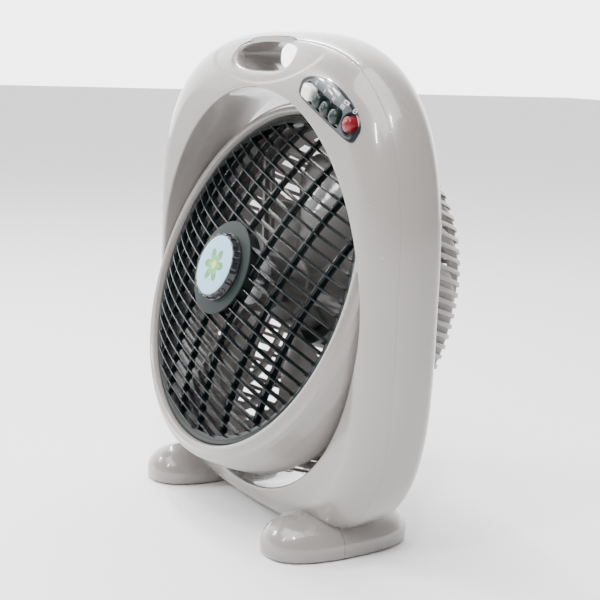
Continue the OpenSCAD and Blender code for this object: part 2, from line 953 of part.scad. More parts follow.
// profile of the dome: [radius, distance], inset by t
function guard_line(t, n) = [
    for (i = [0:n])
        let (u = sin(90 * i / n))
        let (q = pow(max(0, 1 - pow(u, guard_power)), 1 / guard_power))
        [(guard_r - t) * q, guard_at - (head_back - t + guard_at) * u]
];

module guard_shell() {
    outer = guard_line(0, 14);
    inner = guard_line(guard_wall, 14);
    head_turn()
        polygon(concat(
            [[drum_r - 1.8, guard_at], [drum_r - 1.8, guard_at - flange_t], [guard_r, guard_at - flange_t]],
            [for (i = [1:len(outer) - 1]) [outer[i][0], outer[i][1] - 4.5 * (1 - i / 14)]],
            [for (i = [len(inner) - 1:-1:1]) [inner[i][0], inner[i][1] - 4.5 * (1 - i / 14)]],
            [[guard_r - guard_wall, guard_at - 4.5], [guard_r - guard_wall, guard_at]]
        ));
}

// 2D pattern of the slots, in the plane across the head's axis
module slot_pattern() {
    edges = concat([-drum_r], rib_x, [drum_r]);
    for (k = [-slot_rows:slot_rows])
        for (i = [0:len(edges) - 2])
            translate([edges[i] + rib_half, k * slot_pitch - slot_h / 2])
                square([edges[i + 1] - edges[i] - 2 * rib_half, slot_h]);
}

module rear_guard() {
    color(shell_grey)
        in_head()
            difference() {
                guard_shell();
                along_y(20, 130)
                    difference() {
                        slot_pattern();
                        circle(r = hub_plate_r);
                    }
                at_head_bosses() head_rod(1.5, -30, 0);
                at_bracket_screws() head_rod(2.1, -head_back - 5, -head_back + 8);
            }
}

// ---- motor ----
plate_fit = 0.4;
plate_at = guard_wall + plate_fit - head_back;
bracket_t = 3;
case_r = 45;
rear_case_d0 = plate_at + bracket_t;
rear_case_d1 = -78;
stack_d1 = -66;
front_case_d1 = -46;
case_wall = 2.5;
bracket_screw_r = 50;

module at_bracket_screws() {
    for (a = [45, 135, 225, 315])
        translate([bracket_screw_r * cos(a), 0, bracket_screw_r * sin(a)])
            children();
}

// steel plate between the guard and the motor
module motor_bracket() {
    color(steel)
        in_head()
            difference() {
                head_rod(hub_plate_r, plate_at, rear_case_d0);
                head_rod(16, plate_at - 1, rear_case_d0 + 1);
                at_bracket_screws() head_rod(2.0, plate_at - 1, rear_case_d0 + 1);
            }
}

module motor_rear_case() {
    color([0.30, 0.31, 0.32])
        in_head()
            difference() {
                union() {
                    head_rod(case_r, rear_case_d0, rear_case_d1);
                    intersection() {
                        at_bracket_screws() head_rod(6.5, rear_case_d0, rear_case_d0 + 6);
                        head_rod(hub_plate_r, rear_case_d0, rear_case_d0 + 6);
                    }
                }
                difference() {
                    head_rod(case_r - case_wall, rear_case_d0 + case_wall, rear_case_d1 + 1);
                    head_rod(14, rear_case_d0, rear_case_d0 + 9);
                }
                head_rod(11.02, rear_case_d0 + case_wall, rear_case_d1 + 1);
                head_rod(6, rear_case_d0 - 1, rear_case_d1);
                at_bracket_screws() head_rod(1.9, rear_case_d0 - 1, rear_case_d0 + 7);
                for (a = [0:30:330])
                    rotate([0, a, 0])
                        translate([0, -rear_case_d0 - 19, -2.2]) cube([60, 12, 4.4]);
            }
}

module motor_front_case() {
    color([0.30, 0.31, 0.32])
        in_head()
            difference() {
                head_rod(case_r, stack_d1, front_case_d1);
                difference() {
                    head_rod(case_r - case_wall, stack_d1 - 1, front_case_d1 - case_wall);
                    head_rod(14, front_case_d1 - 9, front_case_d1);
                }
                head_rod(11.02, stack_d1 - 1, front_case_d1 - case_wall);
                head_rod(6, stack_d1, front_case_d1 + 1);
                for (a = [0:30:330])
                    rotate([0, a, 0])
                        translate([0, -stack_d1 - 14, -2.2]) cube([60, 9, 4.4]);
            }
}

module motor_screws() {
    color(steel)
        in_head()
            at_bracket_screws() {
                head_rod(3.6, -head_back - 2.2, -head_back);
                head_rod(1.8, -head_back - eps, rear_case_d0 + 6);
            }
}

bearing_w = 6.4;

module motor_bearing(d0) {
    color([0.72, 0.55, 0.30])
        in_head()
            difference() {
                head_rod(11, d0, d0 + bearing_w);
                head_rod(shaft_d / 2 + 0.03, d0 - 1, d0 + bearing_w + 1);
            }
}

module rear_bearing() motor_bearing(rear_case_d0 + case_wall);
module front_bearing() motor_bearing(front_case_d1 - case_wall - bearing_w);

rotor_r = 20;
rotor_gap = 0.4;
coil_r = 30;
coil_w = 12;
coil_h = 8;
slot_r = 5.6;
slot_fit = 0.1;

module stator_core() {
    color([0.42, 0.43, 0.45])
        in_head()
            difference() {
                head_rod(case_r, rear_case_d1, stack_d1);
                head_rod(rotor_r + rotor_gap, rear_case_d1 - 1, stack_d1 + 1);
                for (a = [0:45:315])
                    rotate([0, a, 0])
                        translate([coil_r, 0, 0]) head_rod(slot_r, rear_case_d1 - 1, stack_d1 + 1);
            }
}

// copper coils: a ring at each end, joined through the slots of the core
module stator_windings() {
    color([0.72, 0.36, 0.18])
        in_head() {
            for (d = [rear_case_d1 - coil_h, stack_d1])
                difference() {
                    head_rod(coil_r + coil_w / 2, d, d + coil_h);
                    head_rod(coil_r - coil_w / 2, d - 1, d + coil_h + 1);
                }
            for (a = [0:45:315])
                rotate([0, a, 0])
                    translate([coil_r, 0, 0])
                        head_rod(slot_r - slot_fit, rear_case_d1 - eps, stack_d1 + eps);
        }
}

// the motor's capacitor, fixed to the inside of the rear shell
cap_angle = 315.2;
cap_inset = 4.5;
cap_gap = 0.3;
cap_size = [38, 16, 26];

module run_capacitor() {
    r = ring_mid(cap_angle) - cap_inset;
    color([0.88, 0.88, 0.86])
        translate([r * cos(cap_angle) - cap_size[0] / 2,
                   rear_y - wall - cap_gap - cap_size[1],
                   mid_z + r * sin(cap_angle) - cap_size[2] / 2])
            cube(cap_size);
}

hub_d0 = -42;
hub_d1 = -8;

module motor_shaft() {
    color(steel)
        in_head()
            difference() {
                head_rod(shaft_d / 2, rear_case_d0 + 1, hub_d1 + 10);
                translate([shaft_d / 2 - 1, -hub_d1 + 0.5, -6]) cube([4, 12, 12]);
            }
}

module rotor_core() {
    color([0.55, 0.56, 0.58])
        in_head()
            difference() {
                head_rod(rotor_r, rear_case_d1, stack_d1);
                head_rod(shaft_d / 2 + 0.02, rear_case_d1 - 1, stack_d1 + 1);
            }
}

// ---- fan blade: twisted blades on a cup-shaped hub ----
hub_r = 33;
blade_t = 2.2;
blade_span = 58;
blade_rings = 9;
blade_cols = 8;

// blade surface point: radial step i, chord step j, offset by t through the thickness
function blade_point(i, j, t) =
    let (u = i / blade_rings)
    let (r = hub_r - 2 + (blade_r - hub_r + 2) * u)
    let (w = j / blade_cols - 0.5)
    let (span = blade_span * (1 - 0.55 * pow(u, 6) * (w > 0 ? 1 : 0.6)))
    let (a = span * w + 20 * u)
    let (rise = 30 * (1 - 0.35 * u) * w + 3 * (1 - 4 * w * w))
    [r * cos(a), -(hub_d0 + 17 + rise + t), r * sin(a)];

module blade() {
    m = blade_cols + 1;
    n = blade_rings + 1;
    front = [for (i = [0:n - 1]) for (j = [0:m - 1]) blade_point(i, j, -blade_t / 2)];
    back = [for (i = [0:n - 1]) for (j = [0:m - 1]) blade_point(i, j, blade_t / 2)];
    k = m * n;
    skin = [
        for (i = [0:n - 2])
            for (j = [0:m - 2])
                let (a = i * m + j)
                each [[a, a + m + 1, a + 1], [a, a + m, a + m + 1],
                      [k + a, k + a + 1, k + a + m + 1], [k + a, k + a + m + 1, k + a + m]]
    ];
    ends = [
        for (j = [0:m - 2])
            let (t = (n - 1) * m)
            each [[j, j + 1, k + j + 1], [j, k + j + 1, k + j],
                  [t + j + 1, t + j, k + t + j], [t + j + 1, k + t + j, k + t + j + 1]]
    ];
    edges = [
        for (i = [0:n - 2])
            let (a = i * m)
            let (b = i * m + m - 1)
            each [[a + m, a, k + a], [a + m, k + a, k + a + m],
                  [b, b + m, k + b + m], [b, k + b + m, k + b]]
    ];
    polyhedron(concat(front, back), concat(skin, ends, edges), convexity = 4);
}

module fan_blade() {
    color([0.80, 0.80, 0.79])
        in_head()
            difference() {
                union() {
                    difference() {
                        head_rod(hub_r, hub_d0, hub_d1);
                        head_rod(hub_r - 3, hub_d0 - 1, hub_d1 - 3);
                    }
                    head_rod(9, hub_d0 + 2, hub_d1 - 1);
                    for (i = [0:blade_count - 1])
                        rotate([0, i * 360 / blade_count, 0]) blade();
                }
                head_rod(shaft_d / 2 + 0.02, hub_d0 - 5, hub_d1 + 5);
            }
}

module blade_nut() {
    color([0.25, 0.26, 0.27])
        in_head()
            difference() {
                union() {
                    head_rod(13, hub_d1, hub_d1 + 5);
                    head_rod(9, hub_d1, hub_d1 + 12);
                }
                head_rod(shaft_d / 2 + 0.02, hub_d1 - 1, hub_d1 + 10.2);
            }
}

// ---- louvre carrier: arms from the drum to the louvre motor at the middle ----
carrier_angles = [0, 120, 240];
carrier_r = 29;
arm_d0 = 12;
arm_d1 = 16;
arm_half = 6;
arm_end = louvre_r - 17.2;
tab_t = 3.3;
carrier_screw_r = ledge_r + 4.4;

module louvre_carrier() {
    color([0.78, 0.78, 0.77])
        in_head()
            difference() {
                union() {
                    head_rod(carrier_r, arm_d0 - 0.5, arm_d0 + 18);
                    for (a = carrier_angles)
                        rotate([0, a, 0]) carrier_arm();
                }
                head_rod(carrier_r - 3, arm_d0 + 3, arm_d0 + 20);
                for (a = carrier_angles)
                    rotate([0, a, 0])
                        translate([carrier_screw_r, 0, 0]) head_rod(1.7, 15, 30);
            }
}

// one arm: a ribbed bar, then a bracket that steps forward to the drum's ledge
module carrier_arm() {
    from = carrier_r - 2;
    half = arm_half + 2;
    translate([from, -arm_d1, -arm_half])
        cube([arm_end - 2 - from, arm_d1 - arm_d0, 2 * arm_half]);
    translate([from, -arm_d1 - 5, -1.5])
        cube([arm_end - 4 - from, 6, 3]);
    translate([arm_end - 6, -ledge_back, -half])
        cube([6, ledge_back - arm_d0 - 0.5, 2 * half]);
    translate([arm_end - 1, -ledge_back, -half])
        cube([carrier_screw_r + 5.4 - arm_end + 1, tab_t, 2 * half]);
}

module carrier_screws() {
    color(steel)
        in_head()
            for (a = carrier_angles)
                rotate([0, a, 0])
                    translate([carrier_screw_r, 0, 0]) {
                        head_rod(3, ledge_back - tab_t - 2, ledge_back - tab_t);
                        head_rod(1.35, ledge_back - tab_t - eps, 25.4);
                    }
}

louvre_motor_d0 = arm_d0 + 3;

// slow synchronous motor with its gearbox cap
module louvre_motor() {
    color(steel)
        in_head()
            difference() {
                union() {
                    head_rod(25, louvre_motor_d0, louvre_motor_d0 + 14);
                    head_rod(8, louvre_motor_d0, louvre_motor_d0 + 19);
                }
                head_rod(3.6, louvre_motor_d0 + 6, louvre_motor_d0 + 30);
            }
}

// ---- louvre: vanes and cross bars between two spheres, in a flat rim ----
dome_rise_r = 45;
hub_top = 66.3;
rim_w = 8.4;
dome_edge_r = louvre_r - rim_w;
dome_edge = 38.95;
dome_mid = (sq(hub_top) + sq(dome_rise_r) - sq(dome_edge) - sq(dome_edge_r)) / (2 * (hub_top - dome_edge));
dome_r = norm([dome_rise_r, hub_top - dome_mid]);
vane_deep = 9;
bar_back = 6;
bar_deep = 5;
bar_t = 2.6;
rim_d0 = 27.4;
rim_d1 = 35.2;

// band between two spheres about the dome's middle, out to radius r
module dome_band(depth0, depth1, r) {
    head_turn()
        intersection() {
            translate([0, dome_mid])
                difference() {
                    circle(r = dome_r - depth0, $fn = 720);
                    circle(r = dome_r - depth1, $fn = 720);
                }
            translate([40, 0]) square([r - 40, 100]);
        }
}

module vane_pattern() {
    rotate(vane_angle)
        for (k = [-14:14])
            translate([-louvre_r, k * vane_pitch - vane_t / 2])
                square([2 * louvre_r, vane_t]);
}

module bar_pattern() {
    rotate(vane_angle)
        for (k = [-4:4])
            translate([k * bar_pitch - bar_t / 2, -louvre_r])
                square([bar_t, 2 * louvre_r]);
}

module louvre_grille() {
    color(louvre_black)
        in_head()
            difference() {
                union() {
                    intersection() {
                        dome_band(0, vane_deep, louvre_r - rim_w + 1);
                        along_y(-80, -10) vane_pattern();
                    }
                    intersection() {
                        dome_band(bar_back, bar_back + bar_deep, louvre_r - rim_w + 1);
                        along_y(-80, -10) bar_pattern();
                    }
                    head_turn()
                        polygon([
                            [louvre_r, rim_d0], [louvre_r, rim_d1 - 1], [louvre_r - 1, rim_d1],
                            [louvre_r - rim_w + 1, rim_d1 + 1], [louvre_r - rim_w, rim_d1],
                            [louvre_r - rim_w, rim_d0]
                        ]);
                }
                head_rod(hub_disc_r - 3, 0, 100);
            }
}

// ---- louvre hub, knob and badge ----
hub_disc_r = 45;
knob_r = 31;
knob_d1 = 76.6;
disc_d0 = 66.7;
disc_d1 = 68.3;

// flange disc, with a sleeve that runs back onto the louvre motor's shaft
module louvre_hub() {
    color([0.26, 0.33, 0.32])
        in_head() {
            difference() {
                union() {
                    head_rod(hub_disc_r, disc_d0, disc_d1);
                    head_rod(hub_disc_r - 3.2, 54, disc_d0 + eps);
                    head_rod(7, 36, disc_d0 + eps);
                }
                difference() {
                    head_rod(hub_disc_r - 5.5, 50, hub_top - 2);
                    head_rod(7, 30, hub_top);
                }
            }
            head_rod(3.5, louvre_motor_d0 + 7, 40);
        }
}

module louvre_knob() {
    color(trim_black)
        in_head()
            difference() {
                head_turn()
                    polygon([
                        [0, disc_d1], [knob_r + 1.5, disc_d1], [knob_r + 1, disc_d1 + 2.4],
                        [knob_r, knob_d1 - 1], [knob_r - 1, knob_d1], [0, knob_d1]
                    ]);
                head_rod(28.6, knob_d1 - 0.8, knob_d1 + 5);
                for (a = [0:15:345])
                    rotate([0, a, 0])
                        translate([knob_r + 1.4, 0, 0]) head_rod(1.1, disc_d1 + 1.9, knob_d1 + 5);
            }
}

module knob_badge() {
    color([0.68, 0.83, 0.93])
        in_head()
            head_rod(28.4, knob_d1 - 0.8, knob_d1 + 0.4);
}

front_shell();
rear_shell();
foot_left_front();
foot_left_rear();
foot_right_front();
foot_right_rear();
foot_pads();
foot_screws();
shell_screws();
control_fascia();
legend_strip();
switch_block();
switch_screws();
pivot_bush_left();
pivot_bush_right();
cord_gland();
off_button();
low_button();
medium_button();
high_button();
louvre_button();
head_drum();
rear_guard();
head_screws();
pivot_pin_left();
pivot_pin_right();
friction_washers();
louvre_carrier();
carrier_screws();
louvre_motor();
motor_bracket();
motor_rear_case();
motor_front_case();
motor_screws();
stator_core();
stator_windings();
rear_bearing();
front_bearing();
run_capacitor();
motor_shaft();
rotor_core();
fan_blade();
blade_nut();
louvre_grille();
louvre_hub();
louvre_knob();
knob_badge();
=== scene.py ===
# %% [markdown]
# # A portable box fan with a tilting head
#
# The object is a household fan. An oval ring frame, moulded in two halves, stands on two feet
# and is carried by a hole in its top. A round head hangs on two pivots inside the ring and tips
# back and forward. In the head a slow louvre turns in front of a five-blade fan.
#
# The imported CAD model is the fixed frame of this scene: it says where every piece is and how it
# moves. Here each piece gets its finish, and the large moulded shells are made again as smooth
# meshes that follow the same rules as the CAD model, with the soft details that solids leave out.

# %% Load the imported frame
import json
import math

import bmesh
import bpy
import numpy as np
from mathutils import Matrix, Vector


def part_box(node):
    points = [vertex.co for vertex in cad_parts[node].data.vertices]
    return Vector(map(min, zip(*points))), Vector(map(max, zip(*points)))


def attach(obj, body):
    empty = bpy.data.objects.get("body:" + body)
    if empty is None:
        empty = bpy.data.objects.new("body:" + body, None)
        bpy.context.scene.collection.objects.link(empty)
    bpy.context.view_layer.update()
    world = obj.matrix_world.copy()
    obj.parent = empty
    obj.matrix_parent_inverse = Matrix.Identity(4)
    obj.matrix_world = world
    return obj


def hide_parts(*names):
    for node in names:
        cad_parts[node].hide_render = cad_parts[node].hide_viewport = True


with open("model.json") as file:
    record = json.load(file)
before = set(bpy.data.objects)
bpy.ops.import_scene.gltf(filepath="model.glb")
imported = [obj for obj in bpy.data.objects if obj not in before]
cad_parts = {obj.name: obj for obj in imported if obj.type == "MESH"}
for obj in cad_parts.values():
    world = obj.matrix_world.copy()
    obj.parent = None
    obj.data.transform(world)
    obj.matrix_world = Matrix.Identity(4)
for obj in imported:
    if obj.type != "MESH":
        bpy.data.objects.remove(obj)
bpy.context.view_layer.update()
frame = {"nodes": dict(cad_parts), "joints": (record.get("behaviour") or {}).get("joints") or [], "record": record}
joints = {j["name"]: j for j in frame["joints"]}
print("nodes:", len(frame["nodes"]))

# %% [markdown]
# ## Places taken from the frame
#
# Lengths in this script are millimetres, as on a drawing, and one factor turns them into
# Blender's metres when a mesh is made. The overall sizes are read from the CAD boxes, so that
# the looks follow the model and not the other way round.

# %% Main sizes
MM = 0.001


def node_box(name):
    """Lowest and highest corner of a CAD node in millimetres."""
    low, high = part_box(name)
    return low / MM, high / MM


rear_low, rear_high = node_box("rear_shell")
front_low, front_high = node_box("front_shell")
half_width = rear_high.x
frame_top = rear_high.z
frame_bottom = rear_low.z
front_y = front_low.y
rear_y = rear_high.y
seam_y = rear_low.y
pivot = Vector(joints["head_tilt"]["pos_m"]) / MM
air_axis = Vector(joints["fan_spin"]["axis"])
tilt = math.asin(air_axis.z)
print(f"frame {2 * half_width:.0f} wide, {frame_top:.0f} high, from y {front_y:.1f} to {rear_y:.1f}")
print(f"head pivot at {pivot.y:.1f}, {pivot.z:.1f}, tilted back {math.degrees(tilt):.1f} degrees")

# %% [markdown]
# ## Camera
#
# The camera stands to the right of the fan and a little above it, and is turned very slightly
# about its own axis. A long lens keeps the oval frame from looking stretched.

# %% Camera
CAMERA_PLACE = Vector((1023.4, -631.7, 440.2))
CAMERA_YAW = math.radians(57.25)
CAMERA_PITCH = math.radians(10.93)
CAMERA_ROLL = math.radians(2.36)
CAMERA_LENS = 76.32


def add_camera():
    forward = Vector((
        -math.sin(CAMERA_YAW) * math.cos(CAMERA_PITCH),
        math.cos(CAMERA_YAW) * math.cos(CAMERA_PITCH),
        -math.sin(CAMERA_PITCH),
    ))
    level = Vector((math.cos(CAMERA_YAW), math.sin(CAMERA_YAW), 0))
    above = level.cross(forward)
    c, s = math.cos(CAMERA_ROLL), math.sin(CAMERA_ROLL)
    matrix = Matrix((c * level + s * above, c * above - s * level, -forward)).transposed().to_4x4()
    matrix.translation = CAMERA_PLACE * MM
    data = bpy.data.cameras.new("camera")
    data.lens = CAMERA_LENS
    data.clip_start = 0.05
    data.clip_end = 50
    camera = bpy.data.objects.new("camera", data)
    camera.matrix_world = matrix
    bpy.context.scene.collection.objects.link(camera)
    bpy.context.scene.camera = camera
    return camera


add_camera()
print("lens", CAMERA_LENS, "mm")

# %% [markdown]
# ## Floor, room light and lamps
#
# The fan stands on a plain white floor in a white room. Glossy plastic is mostly judged by what
# it mirrors, so the lamps are large soft panels plus two narrow strips: the panels model the
# form, and the strips draw the thin bright lines along its edges.

# %% Floor and room
def add_floor():
    mesh = bpy.data.meshes.new("floor")
    size = 12
    corners = [(-size, -size, 0), (size, -size, 0), (size, size, 0), (-size, size, 0)]
    mesh.from_pydata(corners, [], [(0, 1, 2, 3)])
    floor = bpy.data.objects.new("floor", mesh)
    bpy.context.scene.collection.objects.link(floor)
    material = bpy.data.materials.new("floor_white")
    material.use_nodes = True
    shader = material.node_tree.nodes["Principled BSDF"]
    shader.inputs["Base Color"].default_value = (0.93, 0.93, 0.93, 1)
    shader.inputs["Roughness"].default_value = 0.9
    shader.inputs["Specular IOR Level"].default_value = 0.1
    mesh.materials.append(material)
    return floor


def set_room_light(ahead, behind):
    """Even room light, with a brighter backdrop on the side behind the fan."""
    world = bpy.data.worlds.new("room")
    world.use_nodes = True
    tree = world.node_tree
    background = tree.nodes["Background"]
    background.inputs["Color"].default_value = (1, 1, 1, 1)
    coordinates = tree.nodes.new("ShaderNodeTexCoord")
    facing = tree.nodes.new("ShaderNodeVectorMath")
    facing.operation = "DOT_PRODUCT"
    facing.inputs[1].default_value = BACKDROP_SIDE
    spread = tree.nodes.new("ShaderNodeMapRange")
    spread.interpolation_type = "SMOOTHSTEP"
    spread.inputs["From Min"].default_value = 0.1
    spread.inputs["From Max"].default_value = 0.7
    spread.inputs["To Min"].default_value = ahead
    spread.inputs["To Max"].default_value = behind
    tree.links.new(coordinates.outputs["Generated"], facing.inputs[0])
    tree.links.new(facing.outputs["Value"], spread.inputs["Value"])
    tree.links.new(spread.outputs["Result"], background.inputs["Strength"])
    bpy.context.scene.world = world


BACKDROP_SIDE = (-0.84, 0.54, 0.0)
add_floor()
set_room_light(0.42, 4.8)


# %% Lamps
def add_panel(name, place, target, width, height, power, along=(0, 0, 1)):
    """A rectangular soft lamp at place, facing target, its height lying along a direction."""
    data = bpy.data.lights.new(name, "AREA")
    data.shape = "RECTANGLE"
    data.size, data.size_y = width, height
    data.energy = power
    lamp = bpy.data.objects.new(name, data)
    back = (Vector(place) - Vector(target)).normalized()
    across = Vector(along).cross(back).normalized()
    turn = Matrix((across, back.cross(across), back)).transposed().to_4x4()
    lamp.matrix_world = Matrix.Translation(place) @ turn
    bpy.context.scene.collection.objects.link(lamp)
    return lamp


middle = (0, 0, 0.24)
add_panel("overhead_panel", (0.45, -0.75, 2.15), middle, 1.8, 1.8, 62, (0, 1, 0))
add_panel("top_tube", (-1.07, 0.06, 1.94), (0.1, 0, 0.44), 0.04, 1.35, 34, (1.0, -0.47, 0.72))
add_panel("front_window", (0.62, -1.7, 1.5), (0.18, 0, 0.36), 0.07, 0.45, 14)
add_panel("side_window", (1.2, -0.75, 1.95), (0.18, 0, 0.36), 0.06, 0.35, 12)
# small lamps that leave bright points on the feet: x, z and power
SPOTS = ((-1.50, 1.30, 9), (-1.28, 1.48, 12), (-1.05, 1.22, 7), (-1.22, 1.02, 5))
for k, (x, z, power) in enumerate(SPOTS):
    add_panel(f"spot_{k}", (x, -1.45, z), (0.1, 0, 0.1), 0.09, 0.09, power)

# %% [markdown]
# ## Shared shader groups
#
# Several finishes need the same four effects: a slight unevenness of colour, a slight unevenness
# of gloss, the ripple and fine grain of a moulded surface, and a trace of settled dust. Each is
# made once as a node group with named inputs, and every material places it with its own values.


# %% Node helpers
def new_group(name, inputs, outputs):
    """A shader node group with its sockets, and its input and output nodes."""
    group = bpy.data.node_groups.new(name, "ShaderNodeTree")
    for title, kind, value in inputs:
        socket = group.interface.new_socket(title, in_out="INPUT", socket_type=kind)
        socket.default_value = value
    for title, kind in outputs:
        group.interface.new_socket(title, in_out="OUTPUT", socket_type=kind)
    return group, group.nodes.new("NodeGroupInput"), group.nodes.new("NodeGroupOutput")


def link(tree, source, target):
    tree.links.new(source, target)


def add_noise(tree, vector, scale, detail=3.0):
    """Noise of the given scale; scale is a number or a socket."""
    noise = tree.nodes.new("ShaderNodeTexNoise")
    noise.inputs["Detail"].default_value = detail
    link(tree, vector, noise.inputs["Vector"])
    if isinstance(scale, (int, float)):
        noise.inputs["Scale"].default_value = scale
    else:
        link(tree, scale, noise.inputs["Scale"])
    return noise.outputs["Fac"]


def calc(tree, operation, *values):
    """One Math node on numbers or sockets; returns its output."""
    node = tree.nodes.new("ShaderNodeMath")
    node.operation = operation
    for socket, value in zip(node.inputs, values):
        if isinstance(value, (int, float)):
            socket.default_value = value
        else:
            link(tree, value, socket)
    return node.outputs[0]


def blend_colour(tree, factor, first, second, mode="MIX"):
    """One colour Mix node; factor, first and second are values or sockets."""
    node = tree.nodes.new("ShaderNodeMix")
    node.data_type = "RGBA"
    node.blend_type = mode
    for socket, value in ((node.inputs[0], factor), (node.inputs[6], first), (node.inputs[7], second)):
        if isinstance(value, (int, float, tuple)):
            socket.default_value = value
        else:
            link(tree, value, socket)
    return node.outputs[2]


# %% The four groups
def make_uneven_colour():
    group, start, end = new_group(
        "uneven_colour",
        [("Color", "NodeSocketColor", (0.5, 0.5, 0.5, 1)), ("Spread", "NodeSocketFloat", 0.06),
         ("Scale", "NodeSocketFloat", 9.0)],
        [("Color", "NodeSocketColor")],
    )
    place = group.nodes.new("ShaderNodeTexCoord").outputs["Object"]
    broad = add_noise(group, place, start.outputs["Scale"], 2.0)
    shift = calc(group, "MULTIPLY", calc(group, "SUBTRACT", broad, 0.5), start.outputs["Spread"])
    tone = calc(group, "ADD", 1.0, shift)
    joined = group.nodes.new("ShaderNodeCombineColor")
    for socket in joined.inputs[:3]:
        link(group, tone, socket)
    tinted = blend_colour(group, 1.0, start.outputs["Color"], joined.outputs[0], "MULTIPLY")
    link(group, tinted, end.inputs["Color"])
    return group


def make_uneven_gloss():
    group, start, end = new_group(
        "uneven_gloss",
        [("Roughness", "NodeSocketFloat", 0.3), ("Spread", "NodeSocketFloat", 0.1),
         ("Scale", "NodeSocketFloat", 30.0)],
        [("Roughness", "NodeSocketFloat")],
    )
    place = group.nodes.new("ShaderNodeTexCoord").outputs["Object"]
    broad = add_noise(group, place, start.outputs["Scale"], 5.0)
    shift = calc(group, "MULTIPLY", calc(group, "SUBTRACT", broad, 0.5), start.outputs["Spread"])
    link(group, calc(group, "ADD", start.outputs["Roughness"], shift), end.inputs["Roughness"])
    return group


def make_moulded_skin():
    group, start, end = new_group(
        "moulded_skin",
        [("Ripple", "NodeSocketFloat", 0.3), ("Ripple Scale", "NodeSocketFloat", 24.0),
         ("Grain", "NodeSocketFloat", 0.05), ("Grain Scale", "NodeSocketFloat", 1400.0)],
        [("Height", "NodeSocketFloat")],
    )
    place = group.nodes.new("ShaderNodeTexCoord").outputs["Object"]
    wave = add_noise(group, place, start.outputs["Ripple Scale"], 1.0)
    wave = calc(group, "MULTIPLY", wave, start.outputs["Ripple"])
    fine = add_noise(group, place, start.outputs["Grain Scale"], 2.0)
    fine = calc(group, "MULTIPLY", fine, start.outputs["Grain"])
    link(group, calc(group, "ADD", wave, fine), end.inputs["Height"])
    return group


def make_settled_dust():
    group, start, end = new_group(
        "settled_dust",
        [("Amount", "NodeSocketFloat", 0.1), ("Scale", "NodeSocketFloat", 60.0)],
        [("Mask", "NodeSocketFloat")],
    )
    place = group.nodes.new("ShaderNodeTexCoord").outputs["Object"]
    geometry = group.nodes.new("ShaderNodeNewGeometry")
    split = group.nodes.new("ShaderNodeSeparateXYZ")
    link(group, geometry.outputs["Normal"], split.inputs[0])
    upward = calc(group, "POWER", calc(group, "MAXIMUM", split.outputs["Z"], 0.0), 2.0)
    patchy = calc(group, "MULTIPLY", add_noise(group, place, start.outputs["Scale"], 6.0), upward)
    link(group, calc(group, "MULTIPLY", patchy, start.outputs["Amount"]), end.inputs["Mask"])
    return group


GROUPS = {
    "colour": make_uneven_colour(),
    "gloss": make_uneven_gloss(),
    "skin": make_moulded_skin(),
    "dust": make_settled_dust(),
}
print("shader groups:", ", ".join(g.name for g in GROUPS.values()))


# %% [markdown]
# ## The finishes
#
# Almost everything on the fan is moulded plastic, so one function makes a plastic from a few
# values: colour, gloss, how wavy and how grainy the skin is, and how much dust it holds. A clear
# coat gives the sharp highlight that sits on top of the softer one. Metals have their own
# function, where fine stretched noise stands for the lines that rolling or turning leaves.

# %% Plastic and metal
DUST_COLOUR = (0.62, 0.60, 0.57, 1)


def place_group(tree, key, **values):
    """Places a shared group in a material, with its own input values."""
    node = tree.nodes.new("ShaderNodeGroup")
    node.node_tree = GROUPS[key]
    for title, value in values.items():
        node.inputs[title.replace("_", " ")].default_value = value
    return node


def new_material(name):
    material = bpy.data.materials.new(name)
    material.use_nodes = True
    return material, material.node_tree, material.node_tree.nodes["Principled BSDF"]


def add_bump(tree, shader, height, strength, distance):
    bump = tree.nodes.new("ShaderNodeBump")
    bump.inputs["Strength"].default_value = strength
    bump.inputs["Distance"].default_value = distance
    link(tree, height, bump.inputs["Height"])
    link(tree, bump.outputs["Normal"], shader.inputs["Normal"])


def plastic(
    name, colour, rough, coat=0.0, spread=0.05, ripple=0.3, grain=0.05, dust=0.1, shine=0.5, pattern=None
):
    """A moulded plastic. pattern, if given, adds its own colour nodes over the base colour."""
    material, tree, shader = new_material(name)
    tone = place_group(tree, "colour", Color=(*colour, 1), Spread=spread)
    base = tone.outputs["Color"]
    if pattern is not None:
        base = pattern(tree, base)
    dirt = place_group(tree, "dust", Amount=dust)
    link(tree, blend_colour(tree, dirt.outputs["Mask"], base, DUST_COLOUR), shader.inputs["Base Color"])
    gloss = place_group(tree, "gloss", Roughness=rough, Spread=0.25 * rough)
    dulled = calc(tree, "ADD", gloss.outputs["Roughness"], dirt.outputs["Mask"])
    link(tree, dulled, shader.inputs["Roughness"])
    skin = place_group(tree, "skin", Ripple=ripple, Grain=grain)
    add_bump(tree, shader, skin.outputs["Height"], 1.0, 0.0006)
    shader.inputs["Specular IOR Level"].default_value = shine
    shader.inputs["Coat Weight"].default_value = coat
    shader.inputs["Coat Roughness"].default_value = 0.05
    return material


